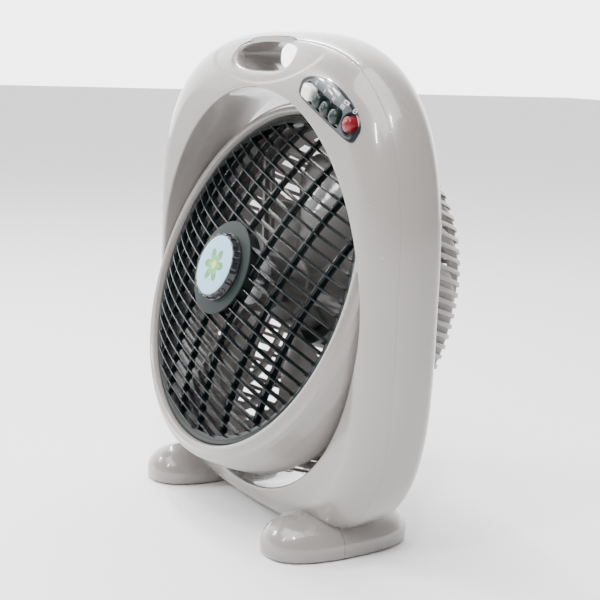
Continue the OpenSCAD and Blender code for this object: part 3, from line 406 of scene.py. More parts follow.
def metal(name, colour, rough, stretch=(1, 1, 1), lines=900.0, depth=0.00003):
    """A bare metal with fine lines; stretch squeezes the lines along one axis."""
    material, tree, shader = new_material(name)
    tone = place_group(tree, "colour", Color=(*colour, 1), Spread=0.12, Scale=40.0)
    link(tree, tone.outputs["Color"], shader.inputs["Base Color"])
    shader.inputs["Metallic"].default_value = 1.0
    coordinates = tree.nodes.new("ShaderNodeTexCoord")
    mapping = tree.nodes.new("ShaderNodeMapping")
    mapping.inputs["Scale"].default_value = stretch
    link(tree, coordinates.outputs["Object"], mapping.inputs["Vector"])
    streaks = add_noise(tree, mapping.outputs["Vector"], lines, 4.0)
    spread = calc(tree, "MULTIPLY", calc(tree, "SUBTRACT", streaks, 0.5), 0.3)
    link(tree, calc(tree, "ADD", spread, rough), shader.inputs["Roughness"])
    add_bump(tree, shader, streaks, 1.0, depth)
    return material


# %% [markdown]
# The badge carries a plain rosette of six petals. Its coordinates are first turned back with
# the head's tilt, so that the drawing is round on the badge itself.

# %% Rosette
def rosette(tree, base):
    coordinates = tree.nodes.new("ShaderNodeTexCoord")
    upright = tree.nodes.new("ShaderNodeMapping")
    upright.vector_type = "TEXTURE"
    upright.inputs["Location"].default_value = pivot * MM
    upright.inputs["Rotation"].default_value = (-tilt, 0, 0)
    link(tree, coordinates.outputs["Object"], upright.inputs["Vector"])
    split = tree.nodes.new("ShaderNodeSeparateXYZ")
    link(tree, upright.outputs["Vector"], split.inputs[0])
    x, z = split.outputs["X"], split.outputs["Z"]
    radius = calc(tree, "SQRT", calc(tree, "ADD", calc(tree, "MULTIPLY", x, x), calc(tree, "MULTIPLY", z, z)))
    angle = calc(tree, "ARCTAN2", z, x)
    petal = calc(tree, "ABSOLUTE", calc(tree, "COSINE", calc(tree, "MULTIPLY", angle, 3.0)))
    edge = calc(tree, "ADD", calc(tree, "MULTIPLY", petal, 0.0105), 0.0065)

    def inside(limit):
        """1 where the radius is under a limit, with a soft edge of half a millimetre."""
        gap = calc(tree, "DIVIDE", calc(tree, "SUBTRACT", limit, radius), 0.0005)
        return calc(tree, "MINIMUM", calc(tree, "MAXIMUM", gap, 0.0), 1.0)

    base = blend_colour(tree, inside(edge), base, (0.035, 0.20, 0.035, 1))
    base = blend_colour(tree, inside(calc(tree, "MULTIPLY", edge, 0.62)), base, (0.08, 0.34, 0.06, 1))
    return blend_colour(tree, inside(0.0042), base, (0.40, 0.55, 0.15, 1))


# %% Finishes of this fan
SHELL_GREY = (0.245, 0.226, 0.215)
finish = {
    "shell": plastic(
        "shell_gloss", SHELL_GREY, 0.26, coat=0.9, spread=0.04, ripple=0.5, grain=0.02, dust=0.04,
    ),
    "drum": plastic("drum_gloss", SHELL_GREY, 0.30, coat=0.6, spread=0.05, ripple=0.4, grain=0.03, dust=0.05),
    "guard": plastic(
        "guard_satin", SHELL_GREY, 0.42, coat=0.1, spread=0.08, ripple=0.3, grain=0.06, dust=0.10,
    ),
    "fan": plastic("fan_grey", (0.085, 0.08, 0.075), 0.38, coat=0.1, spread=0.10, dust=0.15),
    "louvre": plastic(
        "louvre_black", (0.004, 0.007, 0.008), 0.22, coat=0.05, spread=0.3, dust=0.0, shine=0.26,
    ),
    "hub": plastic("hub_grey_green", (0.012, 0.020, 0.018), 0.42, spread=0.15, dust=0.02, shine=0.12),
    "knob": plastic("knob_black", (0.008, 0.009, 0.011), 0.20, coat=0.4, spread=0.2, dust=0.02, shine=0.3),
    "fascia": plastic(
        "fascia_black", (0.010, 0.012, 0.015), 0.18, coat=0.2, ripple=0.1, grain=0.0, dust=0.0, shine=0.25,
    ),
    "film": plastic("legend_grey", (0.040, 0.048, 0.055), 0.30, coat=0.2, ripple=0.1, dust=0.02, shine=0.3),
    "mark": plastic("legend_white", (0.42, 0.44, 0.46), 0.40, ripple=0.0, dust=0.02),
    "key_white": plastic("key_white", (0.82, 0.81, 0.77), 0.30, coat=0.3, dust=0.03),
    "key_dark": plastic(
        "key_green_black", (0.008, 0.017, 0.015), 0.32, coat=0.1, spread=0.2, dust=0.0, shine=0.3,
    ),
    "key_red": plastic("key_red", (0.15, 0.003, 0.008), 0.28, coat=0.15, dust=0.0, shine=0.3),
    "badge": plastic(
        "badge_blue", (0.24, 0.46, 0.62), 0.25, coat=0.4, ripple=0.1, dust=0.02, pattern=rosette,
    ),
    "rubber": plastic("pad_rubber", (0.02, 0.02, 0.022), 0.75, spread=0.3, grain=0.3, dust=0.3),
    "nylon": plastic("bush_nylon", (0.70, 0.69, 0.64), 0.5, spread=0.06),
    "fibre": plastic("washer_fibre", (0.035, 0.033, 0.03), 0.85, spread=0.4, grain=0.4),
    "ivory": plastic("switch_ivory", (0.66, 0.64, 0.55), 0.45),
    "cap_white": plastic("capacitor_white", (0.72, 0.72, 0.69), 0.40),
    "nut": plastic("nut_grey", (0.06, 0.062, 0.066), 0.35, dust=0.1),
    "paint": plastic("motor_paint", (0.035, 0.036, 0.038), 0.40, coat=0.2, spread=0.2, grain=0.2, dust=0.2),
    "screw": metal("screw_zinc", (0.62, 0.62, 0.63), 0.30),
    "steel": metal("ground_steel", (0.58, 0.58, 0.60), 0.28, (1, 0.05, 1)),
    "core": metal("core_laminations", (0.36, 0.36, 0.38), 0.42, (0.02, 1, 0.02), 1800.0),
    "copper": metal("coil_copper", (0.66, 0.28, 0.12), 0.35, (1, 0.2, 1), 700.0, 0.0003),
    "bronze": metal("bearing_bronze", (0.55, 0.40, 0.20), 0.45),
}
print("finishes:", len(finish))

# %% Finish of each CAD node
NODE_FINISH = {
    "rubber": ["foot_pads"],
    "screw": [
        "foot_screws", "shell_screws", "switch_screws", "head_screws", "carrier_screws", "motor_screws",
    ],
    "shell": [
        "front_shell", "rear_shell",
        "foot_left_front", "foot_left_rear", "foot_right_front", "foot_right_rear",
    ],
    "drum": ["head_drum"],
    "guard": ["rear_guard"],
    "fascia": ["control_fascia", "cord_gland"],
    "film": ["legend_strip"],
    "ivory": ["switch_block"],
    "nylon": ["pivot_bush_left", "pivot_bush_right"],
    "key_white": ["off_button"],
    "key_dark": ["low_button", "medium_button", "high_button"],
    "key_red": ["louvre_button"],
    "steel": ["pivot_pin_left", "pivot_pin_right", "motor_shaft", "motor_bracket", "louvre_motor"],
    "fibre": ["friction_washers"],
    "fan": ["louvre_carrier", "fan_blade"],
    "paint": ["motor_rear_case", "motor_front_case"],
    "core": ["stator_core", "rotor_core"],
    "copper": ["stator_windings"],
    "bronze": ["rear_bearing", "front_bearing"],
    "cap_white": ["run_capacitor"],
    "nut": ["blade_nut"],
    "louvre": ["louvre_grille"],
    "hub": ["louvre_hub"],
    "knob": ["louvre_knob"],
    "badge": ["knob_badge"],
}
body_of_node = {n: b for b, names in frame["record"]["behaviour"]["bodies"].items() for n in names}
for key, names in NODE_FINISH.items():
    for name in names:
        mesh = frame["nodes"][name].data
        mesh.materials.clear()
        mesh.materials.append(finish[key])
print("finished nodes:", sum(len(names) for names in NODE_FINISH.values()))


# %% Piece helpers
EDGE_ANGLE = math.radians(32)


def mesh_object(name, points, faces):
    """A new mesh object from points in millimetres."""
    mesh = bpy.data.meshes.new(name)
    mesh.from_pydata([tuple(c * MM for c in p) for p in points], [], faces)
    mesh.validate()
    made = bpy.data.objects.new(name, mesh)
    bpy.context.scene.collection.objects.link(made)
    return made


def shade(made, angle=EDGE_ANGLE):
    mesh = made.data
    mesh.polygons.foreach_set("use_smooth", [True] * len(mesh.polygons))
    mesh.set_sharp_from_angle(angle=angle)


def bake_modifiers(made):
    """Turns the object with its modifiers into a plain mesh."""
    bpy.context.view_layer.update()
    evaluated = made.evaluated_get(bpy.context.evaluated_depsgraph_get())
    mesh = bpy.data.meshes.new_from_object(evaluated)
    made.modifiers.clear()
    made.data = mesh


def cut(made, cutter):
    """Takes the cutter's volume out of the object, and removes the cutter."""
    step = made.modifiers.new("cut", "BOOLEAN")
    step.operation = "DIFFERENCE"
    step.solver = "EXACT"
    step.object = cutter
    bake_modifiers(made)
    bpy.data.objects.remove(cutter)


def joined(name, pieces):
    """One object from several, by joining their meshes."""
    work = bmesh.new()
    for piece in pieces:
        work.from_mesh(piece.data)
    mesh = bpy.data.meshes.new(name)
    work.to_mesh(mesh)
    work.free()
    for piece in pieces:
        bpy.data.objects.remove(piece)
    made = bpy.data.objects.new(name, mesh)
    bpy.context.scene.collection.objects.link(made)
    return made


def settle(made, key, nodes, angle=EDGE_ANGLE):
    """Gives a piece its finish and shading, and lets it stand for CAD nodes of one body."""
    made.data.materials.clear()
    made.data.materials.append(finish[key])
    shade(made, angle)
    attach(made, body_of_node[nodes[0]])
    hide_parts(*nodes)
    print(f"{made.name}: {len(made.data.polygons)} faces on {body_of_node[nodes[0]]}")
    return made


def facing_out(made):
    """Recalculates the normals of a closed shape."""
    work = bmesh.new()
    work.from_mesh(made.data)
    bmesh.ops.recalc_face_normals(work, faces=work.faces)
    work.to_mesh(made.data)
    work.free()


# %% [markdown]
# ## The ring frame
#
# The frame's outline is a rounded oval: a superellipse, whose radius at any angle comes from one
# formula, with a squarer lower half. The opening is a plain ellipse whose middle is lower. Every
# section of the ring is then the same kind of profile: a large rounding at the front, a small one
# at the rear, and a flat wall around the opening. Sweeping that profile round the oval gives a
# closed skin, so two loops make the whole shell. It could also be sculpted from a subdivided
# box, but the formula keeps it exactly on the solid model.

# %% Outline of the frame
GROUND_TO_MIDDLE = 236.7
TOP_POWER, LOW_POWER = 3.0, 3.5
OPEN_HALF_W, OPEN_HALF_H = 181.5, 188.8
FRONT_ROUND, FRONT_ROUND_LOW = 46.0, 20.0
REAR_ROUND, REAR_ROUND_LOW = 15.5, 11.5
WALL = 2.6
LIP = 2.5
SEAM_NICK = 0.3


def outline_radius(a):
    """Radius of the frame's outline at polar angle a."""
    low = math.sin(a) < 0
    power = LOW_POWER if low else TOP_POWER
    reach = GROUND_TO_MIDDLE - frame_bottom if low else frame_top - GROUND_TO_MIDDLE
    return ((abs(math.cos(a)) / half_width) ** power + (abs(math.sin(a)) / reach) ** power) ** (-1 / power)


def opening_radius(a):
    """Radius of the opening's edge, from the same middle."""
    drop = GROUND_TO_MIDDLE - pivot.z
    p = (math.cos(a) / OPEN_HALF_W) ** 2 + (math.sin(a) / OPEN_HALF_H) ** 2
    q = 2 * drop * math.sin(a) / OPEN_HALF_H ** 2
    r = (drop / OPEN_HALF_H) ** 2 - 1
    return (-q + math.sqrt(q * q - 4 * p * r)) / (2 * p)


def edge_rounding(a, usual, low):
    share = math.sin(a) ** 2 if math.sin(a) < 0 else 0
    return usual * (1 - share) + low * share


def front_depth(x, z):
    """y of the frame's plain front face at a place."""
    a = math.atan2(z - GROUND_TO_MIDDLE, x)
    inset = outline_radius(a) - math.hypot(x, z - GROUND_TO_MIDDLE)
    r = edge_rounding(a, FRONT_ROUND, FRONT_ROUND_LOW)
    return front_y if inset >= r else front_y + r - math.sqrt(r * r - (r - max(inset, 0)) ** 2)


print(f"ring width: top {outline_radius(math.pi / 2) - opening_radius(math.pi / 2):.0f},",
      f"side {outline_radius(0) - opening_radius(0):.0f}")

# %% [markdown]
# The hand hole sits in a shallow oval dish, like the scooped rim round a door handle, and its
# own edge is rolled over so that it doesn't cut into the fingers. The dish is a small
# displacement of the front face. A straight tool cuts the hole through the skin, and a separate
# lining is then set into it, which carries the rolled edge and the wall down to the seam.

# %% Dish around the hand hole
HAND_Z = 437.4
HAND_HALF_W, HAND_HALF_H = 50.5, 13.2
HAND_POWER = 2.55
HAND_DRAFT = 3.0
DISH_Z = 440.0
DISH_HALF_W, DISH_HALF_H = 98.0, 28.5
DISH_POWER = 1.8
DISH_DEPTH = 1.5
DISH_EDGE = 0.16
LINING = 2.2
REAR_ROLL = 3.0
TOOL_INSET = 0.3
TOOL_OVERRUN = 20


def dish(x, z):
    """How far the front face is sunk at a place: level inside a soft step."""
    q = (abs(x) / DISH_HALF_W) ** DISH_POWER + (abs(z - DISH_Z) / DISH_HALF_H) ** DISH_POWER
    t = max(0.0, min(1.0, (1 - q) / DISH_EDGE))
    return DISH_DEPTH * t * t * (3 - 2 * t)


def hand_outline(a, grow):
    """x and z on the hand hole's outline at angle a, grown by a distance."""
    c, n = math.cos(a), math.sin(a)
    return (
        (HAND_HALF_W + grow) * math.copysign(abs(c) ** (2 / HAND_POWER), c),
        HAND_Z + (HAND_HALF_H + grow) * math.copysign(abs(n) ** (2 / HAND_POWER), n),
    )


def front_roll(a):
    """Radius of the hole's rolled edge at the front: tight at the top, generous elsewhere."""
    return 4.6 - 0.8 * math.sin(a) + 0.9 * math.cos(a) ** 2


def rear_roll(a):
    """Radius of the rolled edge at the rear, the same all the way round."""
    return REAR_ROLL


def lofted(name, rings):
    """A closed solid from rings of points, each with as many points, capped at both ends."""
    n = len(rings[0])
    points = [p for ring in rings for p in ring]
    faces = [
        (k * n + i, k * n + (i + 1) % n, (k + 1) * n + (i + 1) % n, (k + 1) * n + i)
        for k in range(len(rings) - 1)
        for i in range(n)
    ]
    last = (len(rings) - 1) * n
    faces += [tuple(range(n - 1, -1, -1)), tuple(range(last, last + n))]
    made = mesh_object(name, points, faces)
    facing_out(made)
    return made


def looped(name, sections):
    """A closed ring from section outlines, each with as many points, the last joined to the first."""
    n, m = len(sections), len(sections[0])
    faces = [
        (i * m + j, i * m + (j + 1) % m, ((i + 1) % n) * m + (j + 1) % m, ((i + 1) % n) * m + j)
        for i in range(n)
        for j in range(m)
    ]
    made = mesh_object(name, [p for section in sections for p in section], faces)
    facing_out(made)
    return made


def hand_tool(roll, start, low, high, steps=240):
    """A straight tool in the hand hole's shape, a little inside its rolled edge."""
    angles = [2 * math.pi * i / steps for i in range(steps)]
    outline = [hand_outline(a, start + roll(a) - TOOL_INSET) for a in angles]
    return lofted("hand_tool", [[(x, y, z) for x, z in outline] for y in (low, high)])


def hand_lining(name, roll, start, face_at, way, steps=240):
    """The wall round the hand hole from a face to the seam, with its rolled edge.

    start is the hole's growth where the roll ends. way is 1 for the front shell, whose depth
    grows with y, and -1 for the rear shell."""
    sections = []
    for i in range(steps):
        a = 2 * math.pi * i / steps
        r = roll(a)
        line = [
            (start + r * (1 - math.sin(t)), r * (1 - math.cos(t)))
            for t in (math.radians(9 * k) for k in range(11))
        ]
        tail = [(HAND_DRAFT + LINING, r + 1.5), (start + r + 1.4, 1.6), (start + r + 0.6, 0.5)]
        places = []
        for grow, deep in line + tail:
            x, z = hand_outline(a, grow)
            y = face_at(x, z) + way * deep
            places.append((x, way * min(way * y, way * seam_y - 0.1), z))
        for k, grow in enumerate((HAND_DRAFT, HAND_DRAFT + LINING)):
            x, z = hand_outline(a, grow)
            places.insert(11 + k, (x, seam_y, z))
        sections.append(places)
    return looped(name, sections)


print(f"dish {2 * DISH_HALF_W:.0f} x {2 * DISH_HALF_H:.0f}, {DISH_DEPTH} deep")


# %% [markdown]
# The control panel lies on the upper right of the ring, so its outline is needed here too: the
# shell is cut away behind it. It's drawn flat, with s along the straight edge and v across it.

# %% Panel drawing
PANEL_X, PANEL_Z = 79.6, 409.8
PANEL_TURN = math.radians(-24)
PANEL_MID = (45.0, 6.5)
PANEL_HALF_L, PANEL_HIGH, PANEL_LOW = 47.4, 19.3, 12.1
PLATE_UP = 0.8


def from_drawing(s, v):
    """x and z of a place on the panel's drawing."""
    c, n = math.cos(PANEL_TURN), math.sin(PANEL_TURN)
    return PANEL_X + s * c - v * n, PANEL_Z + s * n + v * c


def panel_outline(a, k=1.0):
    """Drawing place on the D outline at angle a, scaled by k about its middle."""
    n = 6 if math.sin(a) < 0 else 1.8
    h = PANEL_LOW if math.sin(a) < 0 else PANEL_HIGH
    c, s = math.cos(a), math.sin(a)
    return (
        PANEL_MID[0] + k * PANEL_HALF_L * math.copysign(abs(c) ** (2 / n), c),
        PANEL_MID[1] + k * h * math.copysign(abs(s) ** (2 / n), s),
    )


def on_face(s, v, up):
    x, z = from_drawing(s, v)
    return (x, front_depth(x, z) - up, z)



# %% Profiles of the two shells
def edge_arc(outer, face, r, way, inner, start, stop, steps):
    """Arc of an edge rounding as (radius, y): way is 1 at the front and -1 at the rear."""
    arc = []
    for i in range(steps + 1):
        a = math.radians(start + (stop - start) * i / steps)
        arc.append((outer - r + (r - inner) * math.sin(a), face + way * (r - (r - inner) * math.cos(a))))
    return arc


def straight(first, last, steps):
    """Points between two ends, without the ends."""
    return [
        (first[0] + (last[0] - first[0]) * i / steps, first[1] + (last[1] - first[1]) * i / steps)
        for i in range(1, steps)
    ]


def skin_radius(a, y):
    """Radius of the front rounding's skin at a depth."""
    r = edge_rounding(a, FRONT_ROUND, FRONT_ROUND_LOW)
    ahead = max(0.0, r - (y - front_y))
    return outline_radius(a) - r + math.sqrt(r * r - ahead * ahead)


def front_profile(a, arc_steps=64):
    outer, inner = outline_radius(a), opening_radius(a)
    at_seam = skin_radius(a, seam_y)
    r = edge_rounding(a, FRONT_ROUND, FRONT_ROUND_LOW)
    inset = outer - inner - LIP - 0.8
    stop = math.degrees(math.asin(max(0.0, min(1.0, (r - inset) / r))))
    start = math.degrees(math.acos(max(0.0, min(1.0, (r - (seam_y - SEAM_NICK - front_y)) / r))))
    skin = edge_arc(outer, front_y, r, 1, 0, start, stop, arc_steps)
    face_end = front_y if inset + 0.8 >= r else front_y + r - math.sqrt(r * r - (r - inset - 0.8) ** 2)
    lip = [
        (inner + LIP * (1 - math.sin(t)), face_end + LIP * (1 - math.cos(t)))
        for t in (math.radians(15 * k) for k in range(7))
    ]
    gap = straight(skin[-1], lip[0], 8)
    seam = [(at_seam - SEAM_NICK, seam_y)]
    inside = [(inner, seam_y), (inner + WALL, seam_y), (inner + WALL, front_y + WALL + LIP + 3)]
    back = edge_arc(outer, front_y, r, 1, WALL, stop, start, 8)
    wall = straight(lip[-1], inside[0], 4) + inside
    return seam + skin + gap + lip + wall + back + [(at_seam - WALL, seam_y)]


def rear_profile(a, arc_steps=14):
    outer, inner = outline_radius(a), opening_radius(a)
    r = edge_rounding(a, REAR_ROUND, REAR_ROUND_LOW)
    rf = edge_rounding(a, FRONT_ROUND, FRONT_ROUND_LOW)
    lip = [
        (inner + LIP * (1 - math.cos(t)), rear_y - LIP * (1 - math.sin(t)))
        for t in (math.radians(15 * k) for k in range(7))
    ]
    skin = edge_arc(outer, rear_y, r, -1, 0, 0, 90, arc_steps)
    stop = math.degrees(math.acos(max(0.0, min(1.0, (rf - (seam_y + SEAM_NICK - front_y)) / rf))))
    bulge = [(outer, seam_y + SEAM_NICK)]
    if rf > seam_y - front_y:
        bulge = edge_arc(outer, front_y, rf, 1, 0, 89, stop, 12)
    at_seam = skin_radius(a, seam_y)
    inside = edge_arc(outer, rear_y, r, -1, WALL, 88, 0, 6)
    return (
        lip + straight(lip[-1], skin[0], 6) + skin + bulge
        + [(at_seam - SEAM_NICK, seam_y), (at_seam - WALL, seam_y)] + inside
        + [(inner + WALL, rear_y - WALL), (inner + WALL, seam_y), (inner, seam_y)]
        + straight((inner, seam_y), lip[0], 4)
    )


# %% Sweep the profiles round the oval
def ring_angles():
    """Polar angles of the sections: close together over the handle, wider elsewhere."""
    handle = np.linspace(math.radians(52), math.radians(128), 200)
    rest = np.linspace(math.radians(128), math.radians(412), 270)[1:-1]
    return np.concatenate([handle, rest])


def swept_ring(name, profile, sink=0.0):
    """A closed ring skin. sink is 1 for the shell whose front face carries the dish."""
    sections = []
    for a in ring_angles():
        section = []
        for r, y in profile(a):
            x, z = r * math.cos(a), GROUND_TO_MIDDLE + r * math.sin(a)
            ahead = max(0.0, min(1.0, (seam_y - 2 - y) / 8))
            section.append((x, y + sink * ahead * dish(x, z), z))
        sections.append(section)
    return looped(name, sections)


front_ring = swept_ring("front_ring", front_profile, sink=1.0)
cut(front_ring, hand_tool(front_roll, 0.0, front_y - TOOL_OVERRUN, seam_y + TOOL_OVERRUN))
front_lining = hand_lining("front_lining", front_roll, 0.0, lambda x, z: front_depth(x, z) + dish(x, z), 1)
panel_edge = [from_drawing(*panel_outline(2 * math.pi * i / 120, 0.93)) for i in range(120)]
panel_rings = [[(x, y, z) for x, z in panel_edge] for y in (front_y - 20, front_y + 12)]
cut(front_ring, lofted("panel_tool", panel_rings))
front_skin = joined("front_shell_skin", [front_ring, front_lining])
settle(front_skin, "shell", ["front_shell"])
rear_ring = swept_ring("rear_ring", rear_profile)
cut(rear_ring, hand_tool(rear_roll, HAND_DRAFT, seam_y - TOOL_OVERRUN, rear_y + TOOL_OVERRUN))
rear_lining = hand_lining("rear_lining", rear_roll, HAND_DRAFT, lambda x, z: rear_y, -1)
rear_skin = joined("rear_shell_skin", [rear_ring, rear_lining])
settle(rear_skin, "shell", ["rear_shell"])

# %% [markdown]
# ## Placing pieces of the head
#
# The head is easiest to draw upright, with the air axis along the y axis, as if it weren't
# tilted. One matrix then tips it back about the pivot, and is applied to the mesh so that the
# finished object itself stays unturned at the origin.

# %% Head placing
HEAD = Matrix.Translation(pivot * MM) @ Matrix.Rotation(-tilt, 4, "X")


def into_head(made):
    made.data.transform(HEAD)
    return made


def turned(name, profile, steps=240, closed=True):
    """A lathe shape about the head's air axis; profile is [(radius, distance forward)]."""
    n = len(profile)
    points = []
    for i in range(steps):
        a = 2 * math.pi * i / steps
        points += [(r * math.cos(a), -d, r * math.sin(a)) for r, d in profile]
    spans = n if closed else n - 1
    faces = [
        (i * n + j, ((i + 1) % steps) * n + j, ((i + 1) % steps) * n + (j + 1) % n, i * n + (j + 1) % n)
        for i in range(steps)
        for j in range(spans)
    ]
    made = mesh_object(name, points, faces)
    work = bmesh.new()
    work.from_mesh(made.data)
    bmesh.ops.remove_doubles(work, verts=work.verts, dist=1e-6)
    bmesh.ops.recalc_face_normals(work, faces=work.faces)
    work.to_mesh(made.data)
    work.free()
    return made


# %% [markdown]
# Turned parts and mouldings rarely have a sharp corner: the tool that shapes the mould has a
# radius. So outlines are given as corner points with a radius each, and a helper rounds them.

# %% Outlines with rounded corners
def rounded(corners, steps=6):
    """Outline points from corners (x, y, radius); each corner becomes a small arc."""
    n = len(corners)
    curve = []
    for i, (x, y, radius) in enumerate(corners):
        here = Vector((x, y))
        before = Vector(corners[i - 1][:2]) - here
        after = Vector(corners[(i + 1) % n][:2]) - here
        half = before.angle(after) / 2
        reach = min(radius / math.tan(half), before.length * 0.49, after.length * 0.49)
        first = here + before.normalized() * reach
        last = here + after.normalized() * reach
        for k in range(steps + 1):
            t = k / steps
            curve.append(tuple((1 - t) ** 2 * first + 2 * t * (1 - t) * here + t ** 2 * last))
    return curve


# %% [markdown]
# ## The head drum
#
# The drum is one turned shape: a barrel, a soft shoulder, a raised bead round the front edge and
# a ledge inside that the louvre's motor carrier is screwed to.

# %% Drum
DRUM = [
    (179.5, -14, 0.4), (179.5, 14, 30), (177.2, 29.5, 12), (175.6, 34.4, 1.2), (171.2, 36.6, 5),
    (167.6, 40.8, 2.6), (163.4, 40.3, 2.6), (161.9, 36, 2), (161.9, 26.4, 0.3), (153.2, 26.4, 0.3),
    (153.2, 23.6, 0.3), (171, 23.6, 1), (176.3, 14, 2), (176.3, -14, 0.3),
]
drum = into_head(turned("head_drum_skin", rounded(DRUM)))
settle(drum, "drum", ["head_drum"])


# %% [markdown]
# ## Strips on a dome
#
# Both grilles of this fan are made of parallel strips that are cut to a round outline and bent
# over a dome. One Geometry Nodes tree makes them: a row of lines, each as long as the circle
# allows, is lifted onto the dome and swept with a small rectangular section. The vanes, the
# cross bars and the rear slats are the same tree with other values.

# %% The strip tree
def tree_inputs(group, inputs):
    """Adds named inputs, and returns a dictionary from name to socket identifier."""
    names = {}
    for title, kind, value in inputs:
        socket = group.interface.new_socket(title, in_out="INPUT", socket_type=kind)
        if value is not None:
            socket.default_value = value
        names[title] = socket.identifier
    group.interface.new_socket("Geometry", in_out="OUTPUT", socket_type="NodeSocketGeometry")
    return names


def join_xyz(group, x, y, z):
    node = group.nodes.new("ShaderNodeCombineXYZ")
    for socket, value in zip(node.inputs, (x, y, z)):
        if isinstance(value, (int, float)):
            socket.default_value = value
        else:
            link(group, value, socket)
    return node.outputs[0]


def make_strip_tree():
    group = bpy.data.node_groups.new("strips_on_a_dome", "GeometryNodeTree")
    names = tree_inputs(group, [
        ("Count", "NodeSocketInt", 9), ("Pitch", "NodeSocketFloat", 0.01), ("Reach", "NodeSocketFloat", 0.1),
        ("Dome Radius", "NodeSocketFloat", 0.4), ("Dome Height", "NodeSocketFloat", 0.4),
        ("Dome Power", "NodeSocketFloat", 2.0), ("Thickness", "NodeSocketFloat", 0.002),
        ("Depth", "NodeSocketFloat", 0.009), ("Setback", "NodeSocketFloat", 0.0),
        ("Edge Radius", "NodeSocketFloat", 0.0005), ("Samples", "NodeSocketInt", 40),
        ("Material", "NodeSocketMaterial", None),
    ])
    start = group.nodes.new("NodeGroupInput").outputs
    end = group.nodes.new("NodeGroupOutput")
    # a row of points, one for each strip, with the middle strip through the axis
    first = calc(group, "MULTIPLY", calc(group, "SUBTRACT", start["Count"], 1), start["Pitch"])
    first = calc(group, "MULTIPLY", first, -0.5)
    row = group.nodes.new("GeometryNodeMeshLine")
    link(group, start["Count"], row.inputs["Count"])
    link(group, join_xyz(group, 0.0, first, 0.0), row.inputs["Start Location"])
    link(group, join_xyz(group, 0.0, start["Pitch"], 0.0), row.inputs["Offset"])
    # a line from -1 to 1 at each point
    line = group.nodes.new("GeometryNodeCurvePrimitiveLine")
    line.inputs["Start"].default_value = (-1, 0, 0)
    line.inputs["End"].default_value = (1, 0, 0)
    fine = group.nodes.new("GeometryNodeResampleCurve")
    link(group, line.outputs["Curve"], fine.inputs["Curve"])
    link(group, start["Samples"], fine.inputs["Count"])
    copies = group.nodes.new("GeometryNodeInstanceOnPoints")
    link(group, row.outputs["Mesh"], copies.inputs["Points"])
    link(group, fine.outputs["Curve"], copies.inputs["Instance"])
    real = group.nodes.new("GeometryNodeRealizeInstances")
    link(group, copies.outputs["Instances"], real.inputs["Geometry"])
    # stretch every line to the circle
    place = group.nodes.new("GeometryNodeInputPosition")
    split = group.nodes.new("ShaderNodeSeparateXYZ")
    link(group, place.outputs["Position"], split.inputs[0])
    across = split.outputs["Y"]
    square = calc(group, "POWER", start["Reach"], 2.0)
    square = calc(group, "SUBTRACT", square, calc(group, "MULTIPLY", across, across))
    half = calc(group, "SQRT", calc(group, "MAXIMUM", square, 0.0))
    turn = calc(group, "SINE", calc(group, "MULTIPLY", split.outputs["X"], math.pi / 2))
    stretch = group.nodes.new("GeometryNodeSetPosition")
    link(group, real.outputs["Geometry"], stretch.inputs["Geometry"])
    link(group, join_xyz(group, calc(group, "MULTIPLY", turn, half), across, 0.0), stretch.inputs["Position"])
    upright = group.nodes.new("GeometryNodeSetCurveNormal")
    mode = upright.inputs.get("Mode")
    if mode is None:
        upright.mode = "Z_UP"
    else:
        mode.default_value = "Z Up"
    link(group, stretch.outputs["Geometry"], upright.inputs["Curve"])
    # sweep a rectangle with rounded corners along them, still flat
    section = group.nodes.new("GeometryNodeCurvePrimitiveQuadrilateral")
    link(group, start["Thickness"], section.inputs["Width"])
    link(group, start["Depth"], section.inputs["Height"])
    fillet = group.nodes.new("GeometryNodeFilletCurve")
    mode = fillet.inputs.get("Mode")
    if mode is None:
        fillet.mode = "POLY"
    else:
        mode.default_value = "Poly"
    link(group, section.outputs["Curve"], fillet.inputs["Curve"])
    fillet.inputs["Count"].default_value = 4
    link(group, start["Edge Radius"], fillet.inputs["Radius"])
    sweep = group.nodes.new("GeometryNodeCurveToMesh")
    link(group, upright.outputs["Curve"], sweep.inputs["Curve"])
    link(group, fillet.outputs["Curve"], sweep.inputs["Profile Curve"])
    sweep.inputs["Fill Caps"].default_value = True
    # lift every point onto a dome that is smaller by the point's own depth below the top face
    place = group.nodes.new("GeometryNodeInputPosition")
    split = group.nodes.new("ShaderNodeSeparateXYZ")
    link(group, place.outputs["Position"], split.inputs[0])
    x, y, z = (split.outputs[k] for k in "XYZ")
    below = calc(group, "SUBTRACT", calc(group, "MULTIPLY", start["Depth"], 0.5), z)
    below = calc(group, "ADD", below, start["Setback"])
    radius = calc(group, "ADD", calc(group, "MULTIPLY", x, x), calc(group, "MULTIPLY", y, y))
    radius = calc(group, "SQRT", radius)
    share = calc(group, "DIVIDE", radius, calc(group, "SUBTRACT", start["Dome Radius"], below))
    share = calc(group, "POWER", share, start["Dome Power"])
    share = calc(group, "MAXIMUM", calc(group, "SUBTRACT", 1.0, share), 0.0)
    lift = calc(group, "POWER", share, calc(group, "DIVIDE", 1.0, start["Dome Power"]))
    height = calc(group, "MULTIPLY", lift, calc(group, "SUBTRACT", start["Dome Height"], below))
    move = group.nodes.new("GeometryNodeSetPosition")
    link(group, sweep.outputs["Mesh"], move.inputs["Geometry"])
    link(group, join_xyz(group, x, y, height), move.inputs["Position"])
    dress = group.nodes.new("GeometryNodeSetMaterial")
    link(group, move.outputs["Geometry"], dress.inputs["Geometry"])
    link(group, start["Material"], dress.inputs["Material"])
    link(group, dress.outputs["Geometry"], end.inputs["Geometry"])
    return group, names


